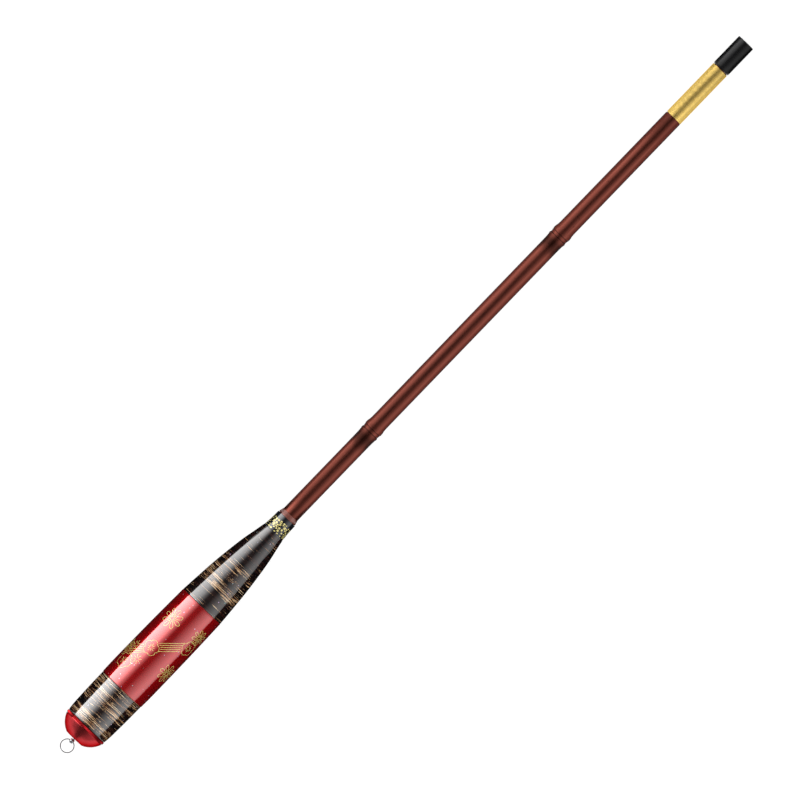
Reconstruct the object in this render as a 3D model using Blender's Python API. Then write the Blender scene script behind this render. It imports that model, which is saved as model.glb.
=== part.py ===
"""Telescopic fishing rod, closed: lacquered grip, bamboo-look butt section, nested sections, plug and screw cap.

Lengths are metres. Every piece is drawn along the rod's own axis, X from the ring end to the plug end.
At the end the whole rod is laid on the floor, where it rests on the swell of its grip and on the end of its plug.
"""

import math

import bmesh
import bpy
from mathutils import Matrix, Vector

MM = 0.001

# Round pieces
SIDES = 30
SMALL_SIDES = 24
TINY_SIDES = 16
FIT_GAP = 0.15 * MM
SHARP_ANGLE = math.radians(32.0)

# Grip, by station along the axis
GRIP_START = 22.95 * MM
BAND_END = 56.0 * MM
RED_END = 130.8 * MM
CONE_END = 198.0 * MM
COLLAR_END = 210.3 * MM
CHECK_END = 213.5 * MM
LACQUER_WALL = 1.2 * MM
EDGE_ROUND = 0.25 * MM
BAND_RADII = [(22.95, 15.95), (27.0, 16.35), (34.0, 16.65), (44.0, 16.9), (56.0, 17.0)]
RED_RADII = [(56.0, 17.25), (62.0, 17.4), (68.0, 17.45), (84.0, 17.4), (104.0, 17.25), (118.0, 17.0), (130.8, 16.75)]
CONE_RADII = [
    (130.8, 16.7),
    (143.0, 15.8),
    (156.0, 14.75),
    (169.0, 13.25),
    (182.0, 11.35),
    (191.0, 9.5),
    (198.0, 8.15),
]
COLLAR_REAR_RADIUS = 8.0 * MM
COLLAR_WAIST_RADIUS = 7.6 * MM
COLLAR_FRONT_RADIUS = 7.4 * MM
CHECK_REAR_RADIUS = 6.9 * MM
CHECK_COVE_RADIUS = 6.5 * MM
CHECK_FRONT_RADIUS = 6.4 * MM

# Butt section, a tapered tube with two raised bamboo nodes
BLANK_RADIUS = 6.1 * MM
BLANK_START = 36.4 * MM
MOUTH = 616.2 * MM
MOUTH_BORE = 4.9 * MM
BORE_TAPER = 0.0009
NODE_STATIONS = (287.3 * MM, 463.1 * MM)
NODE_RELIEF = [
    (-6.0, 0.0),
    (-1.0, 0.2),
    (-0.4, 0.46),
    (0.3, 0.46),
    (1.3, 0.08),
    (3.0, 0.36),
    (4.4, 0.58),
    (5.8, 0.5),
    (9.0, 0.0),
]

# Thread wound over the mouth, as one flat strand
WINDING_START = 571.7 * MM
WINDING_TURNS = 24
WINDING_STEPS = 18
STRAND_THICK = 0.4 * MM
STRAND_GAP = 0.45 * MM
WINDING_SEAT = 5.55 * MM

# Inner sections: rear end, front end, wall and overlap when fully drawn out
SECTION_REAR = 36.2 * MM
SECTION_2_FRONT = 597.2 * MM
SECTION_3_FRONT = 600.0 * MM
TIP_FRONT = 603.3 * MM
SECTION_2_WALL = 0.75 * MM
SECTION_3_WALL = 0.7 * MM
SECTION_2_OVERLAP = 45.0 * MM
SECTION_3_OVERLAP = 40.0 * MM
TIP_OVERLAP = 35.0 * MM
SLIDE_CLEARANCE = 0.1 * MM
TIP_END_RADIUS = 0.6 * MM

# Turning line eye on the tip
FERRULE_START = 600.5 * MM
FERRULE_END = 607.0 * MM
FERRULE_RADIUS = 1.15 * MM
LINE_EYE_CENTRE = 609.1 * MM
LINE_EYE_RADIUS = 1.05 * MM
LINE_EYE_HOLE = 0.45 * MM
LINE_EYE_STEM = 0.32 * MM
LINE_EYE_FOOT = 0.58 * MM
LINE_EYE_FOOT_THICK = 0.7 * MM
FERRULE_LIP = 0.6 * MM
FERRULE_LIP_HOLE = 0.45 * MM

# Plug that closes the mouth
PLUG_BASE = 616.4 * MM
PLUG_END = 640.1 * MM
PLUG_RADIUS = 6.35 * MM
STUD_START = 613.0 * MM
STUD_RADIUS = 3.0 * MM
SLEEVE_START = 598.2 * MM
SLEEVE_RADIUS = 4.5 * MM
SLEEVE_RIB = 0.26 * MM
SLEEVE_RIBS = 3
SLEEVE_BORE = 3.4 * MM

# Screw cap at the butt
CAP_FACE = 11.25 * MM
CAP_SHOULDER = 22.75 * MM
CAP_DOME_RADIUS = 15.9 * MM
CAP_DOME_CENTRE = 25.9 * MM
CAP_DOME_LIFT = 0.66 * MM
CAP_DOME_END = 20.5 * MM
CAP_DOME_STEPS = 8
CAP_WALL_END = 15.0 * MM
CAP_HOLLOW_RADIUS = 4.5 * MM
KNURL_START = 20.85 * MM
KNURL_RADIUS = 16.0 * MM
KNURL_SEAT_RADIUS = 14.9 * MM
KNURL_RIBS = 52
KNURL_DEPTH = 0.3 * MM
SPIGOT_END = 33.9 * MM
SPIGOT_NECK_END = 24.95 * MM
SPIGOT_BORE_START = 26.0 * MM
SPIGOT_BORE_RADIUS = 7.6 * MM
SEAL_THICK = 1.6 * MM
BUFFER_START = 26.2 * MM
BUFFER_END = 35.4 * MM
BUFFER_RADIUS = 7.4 * MM
BUFFER_DIMPLE_RADIUS = 2.5 * MM
BUFFER_DIMPLE_DEPTH = 0.5 * MM
THREAD_RADIUS = 10.0 * MM
THREAD_PITCH = 2.0 * MM
THREAD_DEPTH = 0.9 * MM
THREAD_START = 26.4 * MM
THREAD_TURNS = 3.25
THREAD_PLAY = 0.2 * MM
CAP_TURNS = 5.75
INSERT_END = 36.0 * MM
INSERT_RADIUS = 12.4 * MM
INSERT_SEAT_END = 24.95 * MM
INSERT_RELIEF_START = 33.8 * MM

# Swivelling eye and split ring
EYE_CENTRE = 9.08 * MM
EYE_RADIUS = 1.75 * MM
EYE_HOLE = 0.9 * MM
EYE_NECK = 0.9 * MM
EYE_FOOT_REAR = 1.6 * MM
EYE_FOOT_FRONT = 1.3 * MM
EYE_FOOT_THICK = 0.8 * MM
WASHER_THICK = 1.0 * MM
WASHER_RADIUS = 2.7 * MM
RING_OUTER = 4.74 * MM
RING_WIRE_WIDE = 0.55 * MM
RING_WIRE_HIGH = 0.5 * MM
RING_STEP = 0.6 * MM
RING_STEPS = 36
RING_WIRE_DEG = (4.0, 692.0)
RING_STEP_DEG = (333.0, 363.0)

COLOURS = {
    "gold_thread": ("C7A656", 0.0, 0.45),
    "bamboo_lacquer": ("7A4034", 0.0, 0.2),
    "black_gold_lacquer": ("2A2320", 0.0, 0.15),
    "red_lacquer": ("8E0A12", 0.0, 0.15),
    "gold_fleck_lacquer": ("3A3428", 0.0, 0.2),
    "brown_horn": ("3B1D14", 0.0, 0.2),
    "light_wood": ("B99A6B", 0.0, 0.6),
    "red_aluminium": ("B3161C", 1.0, 0.25),
    "bare_aluminium": ("B9BCC0", 1.0, 0.3),
    "black_rubber": ("1C1C1C", 0.0, 0.6),
    "grey_rubber": ("3A3A3C", 0.0, 0.7),
    "bright_steel": ("C4C6C9", 1.0, 0.2),
    "brown_composite": ("4A2018", 0.0, 0.25),
    "black_plug": ("141414", 0.0, 0.25),
}


def clear_scene():
    for obj in list(bpy.data.objects):
        bpy.data.objects.remove(obj, do_unlink=True)


def collection(name):
    made = bpy.data.collections.new(name)
    bpy.context.scene.collection.children.link(made)
    return made


def linear(channel):
    return channel / 12.92 if channel <= 0.04045 else ((channel + 0.055) / 1.055) ** 2.4


def material(name):
    code, metallic, roughness = COLOURS[name]
    made = bpy.data.materials.new(name)
    made.use_nodes = True
    shader = made.node_tree.nodes["Principled BSDF"]
    rgb = [linear(int(code[i : i + 2], 16) / 255) for i in (0, 2, 4)]
    shader.inputs["Base Color"].default_value = (*rgb, 1.0)
    shader.inputs["Metallic"].default_value = metallic
    shader.inputs["Roughness"].default_value = roughness
    made.diffuse_color = (*rgb, 1.0)
    return made


clear_scene()
PIECES = collection("fishing_rod")
CUTTERS = collection("cutters")


def shade(mesh):
    mesh.shade_smooth()
    mesh.set_sharp_from_angle(angle=SHARP_ANGLE)


def add_object(name, bm, origin_x, look, folder):
    """Close the mesh, face it outwards and store it about a point on the rod's axis."""
    bmesh.ops.remove_doubles(bm, verts=bm.verts, dist=1e-7)
    bmesh.ops.recalc_face_normals(bm, faces=bm.faces)
    bmesh.ops.translate(bm, verts=bm.verts, vec=(-origin_x, 0.0, 0.0))
    mesh = bpy.data.meshes.new(name)
    bm.to_mesh(mesh)
    bm.free()
    shade(mesh)
    obj = bpy.data.objects.new(name, mesh)
    obj.location.x = origin_x
    folder.objects.link(obj)
    if look:
        obj.data.materials.append(material(look))
    else:
        obj.hide_render = True
        obj.display_type = "WIRE"
    return obj


def turned(name, outline, look=None, origin_x=0.0, sides=SIDES, closed=True):
    """A turned piece: the outline is (station, radius) pairs, a closed loop or a line that ends on the axis.

    The first side is half a step round, so that a flat side and not a corner faces the floor.
    """
    bm = bmesh.new()
    start = Matrix.Rotation(math.pi / sides, 4, "X")
    verts = [bm.verts.new(start @ Vector((x, 0.0, r))) for x, r in outline]
    pairs = list(zip(verts, verts[1:]))
    if closed:
        pairs.append((verts[-1], verts[0]))
    edges = [bm.edges.new(pair) for pair in pairs]
    bmesh.ops.spin(
        bm,
        geom=verts + edges,
        axis=(1.0, 0.0, 0.0),
        cent=(0.0, 0.0, 0.0),
        steps=sides,
        angle=math.tau,
        use_merge=True,
    )
    folder = PIECES if look else CUTTERS
    return add_object(name, bm, origin_x, look, folder)


def helix(name, turns, steps, place, strand, look=None, origin_x=0.0):
    """One unbroken strand about the axis.

    place(turn) gives the station and radius of the strand's middle and its size there, and strand lists
    the corners of its section as (along, outward) offsets.
    """
    bm = bmesh.new()
    rings = []
    count = round(turns * steps)
    for i in range(count + 1):
        turn = i / steps
        x, radius, scale = place(turn)
        spin = Matrix.Rotation(turn * math.tau, 4, "X")
        corners = [Vector((x + dx * scale, 0.0, radius + dr * scale)) for dx, dr in strand]
        rings.append([bm.verts.new(spin @ corner) for corner in corners])
    for ring, after in zip(rings, rings[1:]):
        for j in range(len(strand)):
            k = (j + 1) % len(strand)
            bm.faces.new((ring[j], ring[k], after[k], after[j]))
    bm.faces.new(rings[0])
    bm.faces.new(rings[-1])
    folder = PIECES if look else CUTTERS
    return add_object(name, bm, origin_x, look, folder)


def cross_rod(name, x, radius, length):
    """A round cutter across the rod's axis, along Y."""
    bm = bmesh.new()
    turn = Matrix.Translation((x, 0.0, 0.0)) @ Matrix.Rotation(math.pi / 2, 4, "X")
    bmesh.ops.create_cone(
        bm, cap_ends=True, segments=TINY_SIDES, radius1=radius, radius2=radius, depth=length, matrix=turn
    )
    return add_object(name, bm, 0.0, None, CUTTERS)


def combine(obj, other, operation):
    """Join another solid to this one or cut it away, and keep the result as a plain mesh."""
    step = obj.modifiers.new(operation.lower(), "BOOLEAN")
    step.operation = operation
    step.solver = "EXACT"
    step.object = other
    depsgraph = bpy.context.evaluated_depsgraph_get()
    obj.data = bpy.data.meshes.new_from_object(obj.evaluated_get(depsgraph))
    obj.modifiers.remove(step)
    bm = bmesh.new()
    bm.from_mesh(obj.data)
    bmesh.ops.remove_doubles(bm, verts=bm.verts, dist=1e-6)
    bmesh.ops.dissolve_degenerate(bm, dist=1e-7, edges=bm.edges)
    bm.to_mesh(obj.data)
    bm.free()
    shade(obj.data)


def curve_through(stations, samples):
    """Stations and radii in millimetres, joined by a smooth curve that bulges no more than they do."""
    xs = [x for x, _ in stations]
    rs = [r for _, r in stations]
    slopes = [(rs[i + 1] - rs[i]) / (xs[i + 1] - xs[i]) for i in range(len(xs) - 1)]
    leans = [slopes[0]] + [(a + b) / 2 for a, b in zip(slopes, slopes[1:])] + [slopes[-1]]
    curve = []
    for n in range(samples + 1):
        x = xs[0] + (xs[-1] - xs[0]) * n / samples
        i = min(sum(x >= mark for mark in xs[1:]), len(slopes) - 1)
        width = xs[i + 1] - xs[i]
        t = (x - xs[i]) / width
        r = (
            (2 * t**3 - 3 * t**2 + 1) * rs[i]
            + (t**3 - 2 * t**2 + t) * width * leans[i]
            + (3 * t**2 - 2 * t**3) * rs[i + 1]
            + (t**3 - t**2) * width * leans[i + 1]
        )
        curve.append((x * MM, r * MM))
    return curve


def eased_ends(curve, gap, edge):
    """Pull both ends of an outer curve in by half a joint's gap and round the two corners."""
    (x0, r0), (x1, r1) = curve[0], curve[-1]
    inner = [(x, r) for x, r in curve if x0 + gap + edge < x < x1 - gap - edge]
    rear = [(x0 + gap, r0 - edge), (x0 + gap + edge, r0)]
    front = [(x1 - gap - edge, r1), (x1 - gap, r1 - edge)]
    return rear + inner + front


# Grip
def lacquer_shell(name, stations, samples, look):
    """A lacquered sleeve of even wall, whose inside follows its outside."""
    outer = eased_ends(curve_through(stations, samples), FIT_GAP / 2, EDGE_ROUND)
    inside = curve_through(stations, samples // 2)
    first, last = outer[0][0], outer[-1][0]
    inner = [(min(max(x, first), last), r - LACQUER_WALL) for x, r in reversed(inside)]
    return turned(name, outer + inner, look)


def make_grip():
    lacquer_shell("grip_rear_band", BAND_RADII, 7, "black_gold_lacquer")
    lacquer_shell("grip_red_sleeve", RED_RADII, 9, "red_lacquer")
    lacquer_shell("grip_front_cone", CONE_RADII, 11, "black_gold_lacquer")

    # The turned wooden core fills the sleeves and is bored for the butt section and its threaded insert
    stations = BAND_RADII[:-1] + RED_RADII[:-1] + CONE_RADII
    cover = LACQUER_WALL + 2 * FIT_GAP
    core = [(x, r - cover) for x, r in curve_through(stations, 12)]
    core[-1] = (CONE_END - FIT_GAP, core[-1][1])
    bore = BLANK_RADIUS + FIT_GAP
    seat = INSERT_RADIUS + FIT_GAP
    seat_end = INSERT_END + 0.2 * MM
    bores = [(CONE_END - FIT_GAP, bore), (seat_end, bore), (seat_end, seat), (GRIP_START, seat)]
    turned("grip_core", core + bores, "light_wood", sides=SMALL_SIDES)

    bore = BLANK_RADIUS + FIT_GAP
    start, end = CONE_END, COLLAR_END - FIT_GAP
    collar = [
        (start, bore),
        (start, COLLAR_REAR_RADIUS - 0.15 * MM),
        (start + 0.3 * MM, COLLAR_REAR_RADIUS),
        (start + 5.0 * MM, COLLAR_WAIST_RADIUS),
        (end - 0.5 * MM, COLLAR_FRONT_RADIUS),
        (end, COLLAR_FRONT_RADIUS - 0.4 * MM),
        (end, bore),
    ]
    turned("fleck_collar", collar, "gold_fleck_lacquer")

    check = [
        (COLLAR_END, bore),
        (COLLAR_END, CHECK_REAR_RADIUS),
        (COLLAR_END + 0.8 * MM, CHECK_REAR_RADIUS),
        (COLLAR_END + 2.2 * MM, CHECK_COVE_RADIUS),
        (CHECK_END, CHECK_FRONT_RADIUS),
        (CHECK_END, bore),
    ]
    turned("winding_check", check, "brown_horn")


# Tubes of the rod
def bore_at(mouth, mouth_bore, x):
    """Every bore widens backwards from its mouth at the same taper, so the next section jams in the mouth."""
    return mouth_bore + BORE_TAPER * (mouth - x)


def make_butt_section():
    outer = [(BLANK_START, BLANK_RADIUS - 0.2 * MM), (BLANK_START + 0.3 * MM, BLANK_RADIUS)]
    for station in NODE_STATIONS:
        outer += [(station + dx * MM, BLANK_RADIUS + rise * MM) for dx, rise in NODE_RELIEF]
    outer += [
        (WINDING_START, BLANK_RADIUS),
        (WINDING_START, WINDING_SEAT),
        (MOUTH - 0.15 * MM, WINDING_SEAT),
        (MOUTH, WINDING_SEAT - 0.15 * MM),
    ]
    inner = [
        (MOUTH, MOUTH_BORE + 0.1 * MM),
        (MOUTH - 0.4 * MM, bore_at(MOUTH, MOUTH_BORE, MOUTH - 0.4 * MM)),
        (BLANK_START, bore_at(MOUTH, MOUTH_BORE, BLANK_START)),
    ]
    turned("butt_section", outer + inner, "bamboo_lacquer")


def least_gap_of_turns(points, steps):
    """Smallest distance between the strand's middle line and itself one turn on."""
    return min((a - b).length for a, b in zip(points, points[steps:]))


def make_winding():
    """Thread wound over the mouth: one flat strand with a small gap between its turns."""
    length = MOUTH - WINDING_START - 0.5 * MM
    pitch = length / (WINDING_TURNS + 1)
    wide = pitch - STRAND_GAP
    thick = STRAND_THICK
    middle = BLANK_RADIUS + 0.02 * MM - thick / 2
    first = WINDING_START + 0.25 * MM + wide / 2
    strand = [
        (-wide / 2, -thick / 2),
        (-wide / 2, 0.1 * thick),
        (0.0, thick / 2),
        (wide / 2, 0.1 * thick),
        (wide / 2, -thick / 2),
    ]

    def place(turn):
        return first + pitch * turn, middle, 1.0

    helix("mouth_winding", WINDING_TURNS, WINDING_STEPS, place, strand, "gold_thread")
    line = []
    for i in range(WINDING_TURNS * WINDING_STEPS + 1):
        x, radius, _ = place(i / WINDING_STEPS)
        angle = math.tau * i / WINDING_STEPS
        line.append(Vector((x, -radius * math.sin(angle), radius * math.cos(angle))))
    gap = least_gap_of_turns(line, WINDING_STEPS) - wide
    print(f"mouth winding: {WINDING_TURNS} turns, least gap to itself {gap / MM:.2f} mm")


def tube_section(name, rear_radius, front, wall, look):
    """A section whose outside narrows forwards and whose bore narrows with it. Returns its mouth bore."""
    length = front - SECTION_REAR
    front_radius = rear_radius - BORE_TAPER * length
    mouth_bore = front_radius - wall
    edge = 0.2 * MM
    outline = [
        (SECTION_REAR, rear_radius),
        (front - edge, front_radius),
        (front, front_radius - edge),
        (front, mouth_bore),
        (SECTION_REAR, bore_at(front, mouth_bore, SECTION_REAR)),
    ]
    turned(name, outline, look, SECTION_REAR, SMALL_SIDES)
    return mouth_bore


def jam_radius(mouth_bore, overlap):
    """Rear radius of a section that comes to rest this far inside the mouth before it."""
    return mouth_bore + BORE_TAPER * overlap - SLIDE_CLEARANCE


def make_sections():
    rear_2 = jam_radius(MOUTH_BORE, SECTION_2_OVERLAP)
    bore_2 = tube_section("section_2", rear_2, SECTION_2_FRONT, SECTION_2_WALL, "brown_composite")
    rear_3 = jam_radius(bore_2, SECTION_3_OVERLAP)
    bore_3 = tube_section("section_3", rear_3, SECTION_3_FRONT, SECTION_3_WALL, "brown_composite")
    rear_4 = jam_radius(bore_3, TIP_OVERLAP)
    shoulder = SECTION_REAR + TIP_OVERLAP + 5.0 * MM
    tip = [
        (SECTION_REAR, 0.0),
        (SECTION_REAR, rear_4),
        (shoulder, rear_4 - BORE_TAPER * (shoulder - SECTION_REAR)),
        (TIP_FRONT - 0.1 * MM, TIP_END_RADIUS),
        (TIP_FRONT, TIP_END_RADIUS - 0.1 * MM),
        (TIP_FRONT, 0.0),
    ]
    turned("tip_section", tip, "brown_composite", SECTION_REAR, SMALL_SIDES, closed=False)


def ball_arc(centre, radius, start_deg, end_deg, count):
    """Points of a ball's outline, from the axis side at start_deg to end_deg, measured from the ring end."""
    arc = []
    for n in range(count + 1):
        angle = math.radians(start_deg + (end_deg - start_deg) * n / count)
        arc.append((centre - radius * math.cos(angle), radius * math.sin(angle)))
    return arc


def make_line_eye():
    bore = TIP_END_RADIUS + 0.12 * MM
    behind_lip = FERRULE_END - FERRULE_LIP
    ferrule = [
        (FERRULE_START, bore),
        (FERRULE_START, FERRULE_RADIUS),
        (FERRULE_END - 0.3 * MM, FERRULE_RADIUS),
        (FERRULE_END, FERRULE_RADIUS - 0.2 * MM),
        (FERRULE_END, FERRULE_LIP_HOLE),
        (behind_lip, FERRULE_LIP_HOLE),
        (behind_lip, bore),
    ]
    turned("tip_ferrule", ferrule, "bright_steel", sides=TINY_SIDES)

    # The eye's foot is held behind the ferrule's lip, so the eye turns and cannot pull out
    foot_front = behind_lip - FIT_GAP
    foot_rear = foot_front - LINE_EYE_FOOT_THICK
    eye = [
        (foot_rear, 0.0),
        (foot_rear, LINE_EYE_FOOT),
        (foot_front, LINE_EYE_FOOT),
        (foot_front, LINE_EYE_STEM),
    ]
    meet = math.degrees(math.asin(LINE_EYE_STEM / LINE_EYE_RADIUS))
    eye += ball_arc(LINE_EYE_CENTRE, LINE_EYE_RADIUS, meet, 180.0, 7)
    line_eye = turned("line_eye", eye, "bright_steel", FERRULE_END, TINY_SIDES, closed=False)
    hole = cross_rod("line_eye_hole", LINE_EYE_CENTRE, LINE_EYE_HOLE, 4 * LINE_EYE_RADIUS)
    combine(line_eye, hole, "DIFFERENCE")


# Plug
def make_plug():
    edge = 0.3 * MM
    head = [
        (STUD_START, 0.0),
        (STUD_START, STUD_RADIUS),
        (PLUG_BASE, STUD_RADIUS),
        (PLUG_BASE, PLUG_RADIUS - 0.2 * MM),
        (PLUG_BASE + 0.2 * MM, PLUG_RADIUS),
        (PLUG_END - edge, PLUG_RADIUS),
        (PLUG_END, PLUG_RADIUS - edge),
        (PLUG_END, 0.0),
    ]
    turned("plug_head", head, "black_plug", origin_x=PLUG_BASE, closed=False)

    # A soft ribbed sleeve grips the bore; it is hollow, because the tip's eye reaches into it
    end = PLUG_BASE - FIT_GAP
    outer = [(SLEEVE_START, SLEEVE_RADIUS - 0.3 * MM), (SLEEVE_START + 0.5 * MM, SLEEVE_RADIUS)]
    spacing = (end - SLEEVE_START) / (SLEEVE_RIBS + 1)
    for n in range(1, SLEEVE_RIBS + 1):
        middle = SLEEVE_START + spacing * n
        outer += [
            (middle - 1.2 * MM, SLEEVE_RADIUS),
            (middle, SLEEVE_RADIUS + SLEEVE_RIB),
            (middle + 0.3 * MM, SLEEVE_RADIUS),
        ]
    stud_hole = STUD_RADIUS + FIT_GAP
    step = STUD_START - 0.2 * MM
    outer += [(end, SLEEVE_RADIUS), (end, stud_hole)]
    inner = [
        (step, stud_hole),
        (step, SLEEVE_BORE),
        (SLEEVE_START + 0.4 * MM, SLEEVE_BORE),
        (SLEEVE_START, SLEEVE_BORE + 0.3 * MM),
    ]
    turned("plug_sleeve", outer + inner, "grey_rubber", PLUG_BASE, SMALL_SIDES)


# Screw cap
def thread_ridge(name, play):
    """The thread of the cap's spigot, or with some play the groove that it needs in the insert."""
    half_base = 0.36 * THREAD_PITCH + play
    half_crest = 0.08 * THREAD_PITCH + play
    bottom = -THREAD_DEPTH - 0.25 * MM
    section = [(-half_base, bottom), (-half_crest, play), (half_crest, play), (half_base, bottom)]
    early = 1 if play else 0
    turns = THREAD_TURNS + 1.5 * early
    start = THREAD_START - THREAD_PITCH * early
    lead_in = 0.4

    def place(turn):
        fade = min(turn, turns - turn) / lead_in
        scale = 1.0 if play else min(max(fade, 0.35), 1.0)
        return start + THREAD_PITCH * turn, THREAD_RADIUS - (1.0 - scale) * 0.8 * THREAD_DEPTH, scale

    return helix(name, turns, SMALL_SIDES, place, section)


def make_cap():
    root = THREAD_RADIUS - THREAD_DEPTH
    dome = []
    for n in range(CAP_DOME_STEPS + 1):
        x = CAP_FACE + (CAP_DOME_END - CAP_FACE) * (n / CAP_DOME_STEPS) ** 1.5
        rise = math.sqrt(CAP_DOME_RADIUS**2 - (CAP_DOME_CENTRE - x) ** 2)
        dome.append((x, CAP_DOME_LIFT + rise))
    neck = root - 0.3 * MM
    eye_hole = EYE_NECK + 0.25 * MM
    outline = [
        (CAP_FACE, eye_hole),
        *dome,
        (CAP_DOME_END, KNURL_SEAT_RADIUS),
        (CAP_SHOULDER, KNURL_SEAT_RADIUS),
        (CAP_SHOULDER, neck),
        (SPIGOT_NECK_END, neck),
        (SPIGOT_NECK_END + 0.2 * MM, root),
        (SPIGOT_END - 0.5 * MM, root),
        (SPIGOT_END, root - 0.5 * MM),
        (SPIGOT_END, SPIGOT_BORE_RADIUS),
        (SPIGOT_BORE_START, SPIGOT_BORE_RADIUS),
        (SPIGOT_BORE_START, CAP_HOLLOW_RADIUS),
        (CAP_WALL_END, CAP_HOLLOW_RADIUS),
        (CAP_WALL_END, eye_hole),
    ]
    cap = turned("butt_cap", outline, "red_aluminium", origin_x=CAP_FACE)
    combine(cap, thread_ridge("cap_thread", 0.0), "UNION")

    # Fine straight knurl on the rim that the fingers turn
    bm = bmesh.new()
    rim_bore = KNURL_SEAT_RADIUS + FIT_GAP
    ring_profile = [
        (KNURL_START, rim_bore, 0.0),
        (KNURL_START, KNURL_RADIUS - KNURL_DEPTH, 0.0),
        (KNURL_START + 0.3 * MM, KNURL_RADIUS, 1.0),
        (CAP_SHOULDER, KNURL_RADIUS, 1.0),
        (CAP_SHOULDER, rim_bore, 0.0),
    ]
    rows = []
    for i in range(2 * KNURL_RIBS):
        dip = KNURL_DEPTH * (i % 2)
        spin = Matrix.Rotation(math.tau * i / (2 * KNURL_RIBS), 4, "X")
        rows.append([bm.verts.new(spin @ Vector((x, 0.0, r - dip * cut))) for x, r, cut in ring_profile])
    for i, row in enumerate(rows):
        after = rows[(i + 1) % len(rows)]
        for j in range(len(row)):
            k = (j + 1) % len(row)
            bm.faces.new((row[j], row[k], after[k], after[j]))
    add_object("cap_knurled_ring", bm, CAP_FACE, "red_aluminium", PIECES)

    # Rubber pad that the sections' rear ends rest on, with a shallow dimple
    edge = 0.8 * MM
    buffer = [
        (BUFFER_START, 0.0),
        (BUFFER_START, BUFFER_RADIUS),
        (BUFFER_END - edge, BUFFER_RADIUS),
        (BUFFER_END, BUFFER_RADIUS - edge),
        (BUFFER_END, BUFFER_DIMPLE_RADIUS),
        (BUFFER_END - BUFFER_DIMPLE_DEPTH, 0.0),
    ]
    turned("cap_buffer", buffer, "grey_rubber", CAP_FACE, SMALL_SIDES, closed=False)

    seal = []
    seal_radius = SEAL_THICK / 2
    for n in range(6):
        angle = math.tau * n / 6
        x = CAP_SHOULDER + 1.1 * MM + seal_radius * math.cos(angle)
        seal.append((x, neck + 0.15 * MM + seal_radius + seal_radius * math.sin(angle)))
    turned("cap_seal", seal, "black_rubber", CAP_SHOULDER, SMALL_SIDES)

    # Threaded insert in the end of the grip
    minor = root + THREAD_PLAY
    major = THREAD_RADIUS + THREAD_PLAY
    seat = neck + SEAL_THICK + 0.45 * MM
    insert = [
        (GRIP_START, seat),
        (GRIP_START, INSERT_RADIUS),
        (INSERT_END, INSERT_RADIUS),
        (INSERT_END, major),
        (INSERT_RELIEF_START, major),
        (INSERT_RELIEF_START, minor),
        (INSERT_SEAT_END + 0.4 * MM, minor),
        (INSERT_SEAT_END, seat),
    ]
    insert = turned("butt_insert", insert, "bare_aluminium", sides=SMALL_SIDES)
    combine(insert, thread_ridge("insert_thread", THREAD_PLAY), "DIFFERENCE")


def make_eye_and_ring():
    """A turned eye that swivels in the cap's face, and a split ring through its cross hole."""
    foot = CAP_WALL_END + WASHER_THICK + 0.35 * MM
    meet = 180.0 - math.degrees(math.asin(EYE_NECK / EYE_RADIUS))
    eye = ball_arc(EYE_CENTRE, EYE_RADIUS, 0.0, meet, 9)
    eye += [
        (foot, EYE_NECK),
        (foot, EYE_FOOT_REAR),
        (foot + EYE_FOOT_THICK, EYE_FOOT_FRONT),
        (foot + EYE_FOOT_THICK, 0.0),
    ]
    swivel = turned("swivel_eye", eye, "bright_steel", EYE_CENTRE, TINY_SIDES, closed=False)
    combine(swivel, cross_rod("swivel_eye_hole", EYE_CENTRE, EYE_HOLE, 4 * EYE_RADIUS), "DIFFERENCE")

    start = CAP_WALL_END + FIT_GAP
    outline = [
        (start, EYE_NECK + FIT_GAP),
        (start, WASHER_RADIUS),
        (start + WASHER_THICK, WASHER_RADIUS),
        (start + WASHER_THICK, EYE_NECK + FIT_GAP),
    ]
    turned("eye_washer", outline, "bright_steel", EYE_CENTRE, SMALL_SIDES)

    # Split ring: two flat turns of one wire, with a short step from the lower to the upper
    first, last = [angle / 360.0 for angle in RING_WIRE_DEG]
    step_from, step_to = [angle / 360.0 for angle in RING_STEP_DEG]
    radius = RING_OUTER - RING_WIRE_WIDE / 2
    wide, high = RING_WIRE_WIDE / 2, RING_WIRE_HIGH / 2
    section = [(-high, -wide), (-high, wide), (high, wide), (high, -wide)]

    def place(turn):
        way = min(max((turn + first - step_from) / (step_to - step_from), 0.0), 1.0)
        way = way * way * (3.0 - 2.0 * way)
        return RING_STEP * (way - 0.5), radius, 1.0

    ring = helix("split_ring", last - first, RING_STEPS, place, section, "bright_steel")
    face_up = Matrix.Rotation(math.radians(-90.0), 4, "Y")
    to_pivot = Matrix.Translation((RING_OUTER - EYE_CENTRE, 0.0, 0.0))
    ring.data.transform(to_pivot @ face_up)
    ring.location.x = EYE_CENTRE


def lay_on_floor():
    """Turn the rod until the grip's swell and the plug's end touch the floor, and centre it over the origin."""
    swell = RED_RADII[2]
    drop = (swell[1] * MM - PLUG_RADIUS) * math.cos(math.pi / SIDES)
    tilt = math.asin(drop / (PLUG_END - swell[0] * MM))
    turn = Matrix.Rotation(tilt, 4, "Y")
    corners = []
    for obj in PIECES.objects:
        corners += [turn @ (v.co + obj.location) for v in obj.data.vertices]
    low = Vector([min(c[i] for c in corners) for i in range(3)])
    high = Vector([max(c[i] for c in corners) for i in range(3)])
    shift = Vector((-(low.x + high.x) / 2, -(low.y + high.y) / 2, -low.z))
    lay = Matrix.Translation(shift) @ turn
    for obj in list(PIECES.objects) + list(CUTTERS.objects):
        obj.matrix_world = lay @ Matrix.Translation(obj.location)
    return lay, tilt


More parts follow.
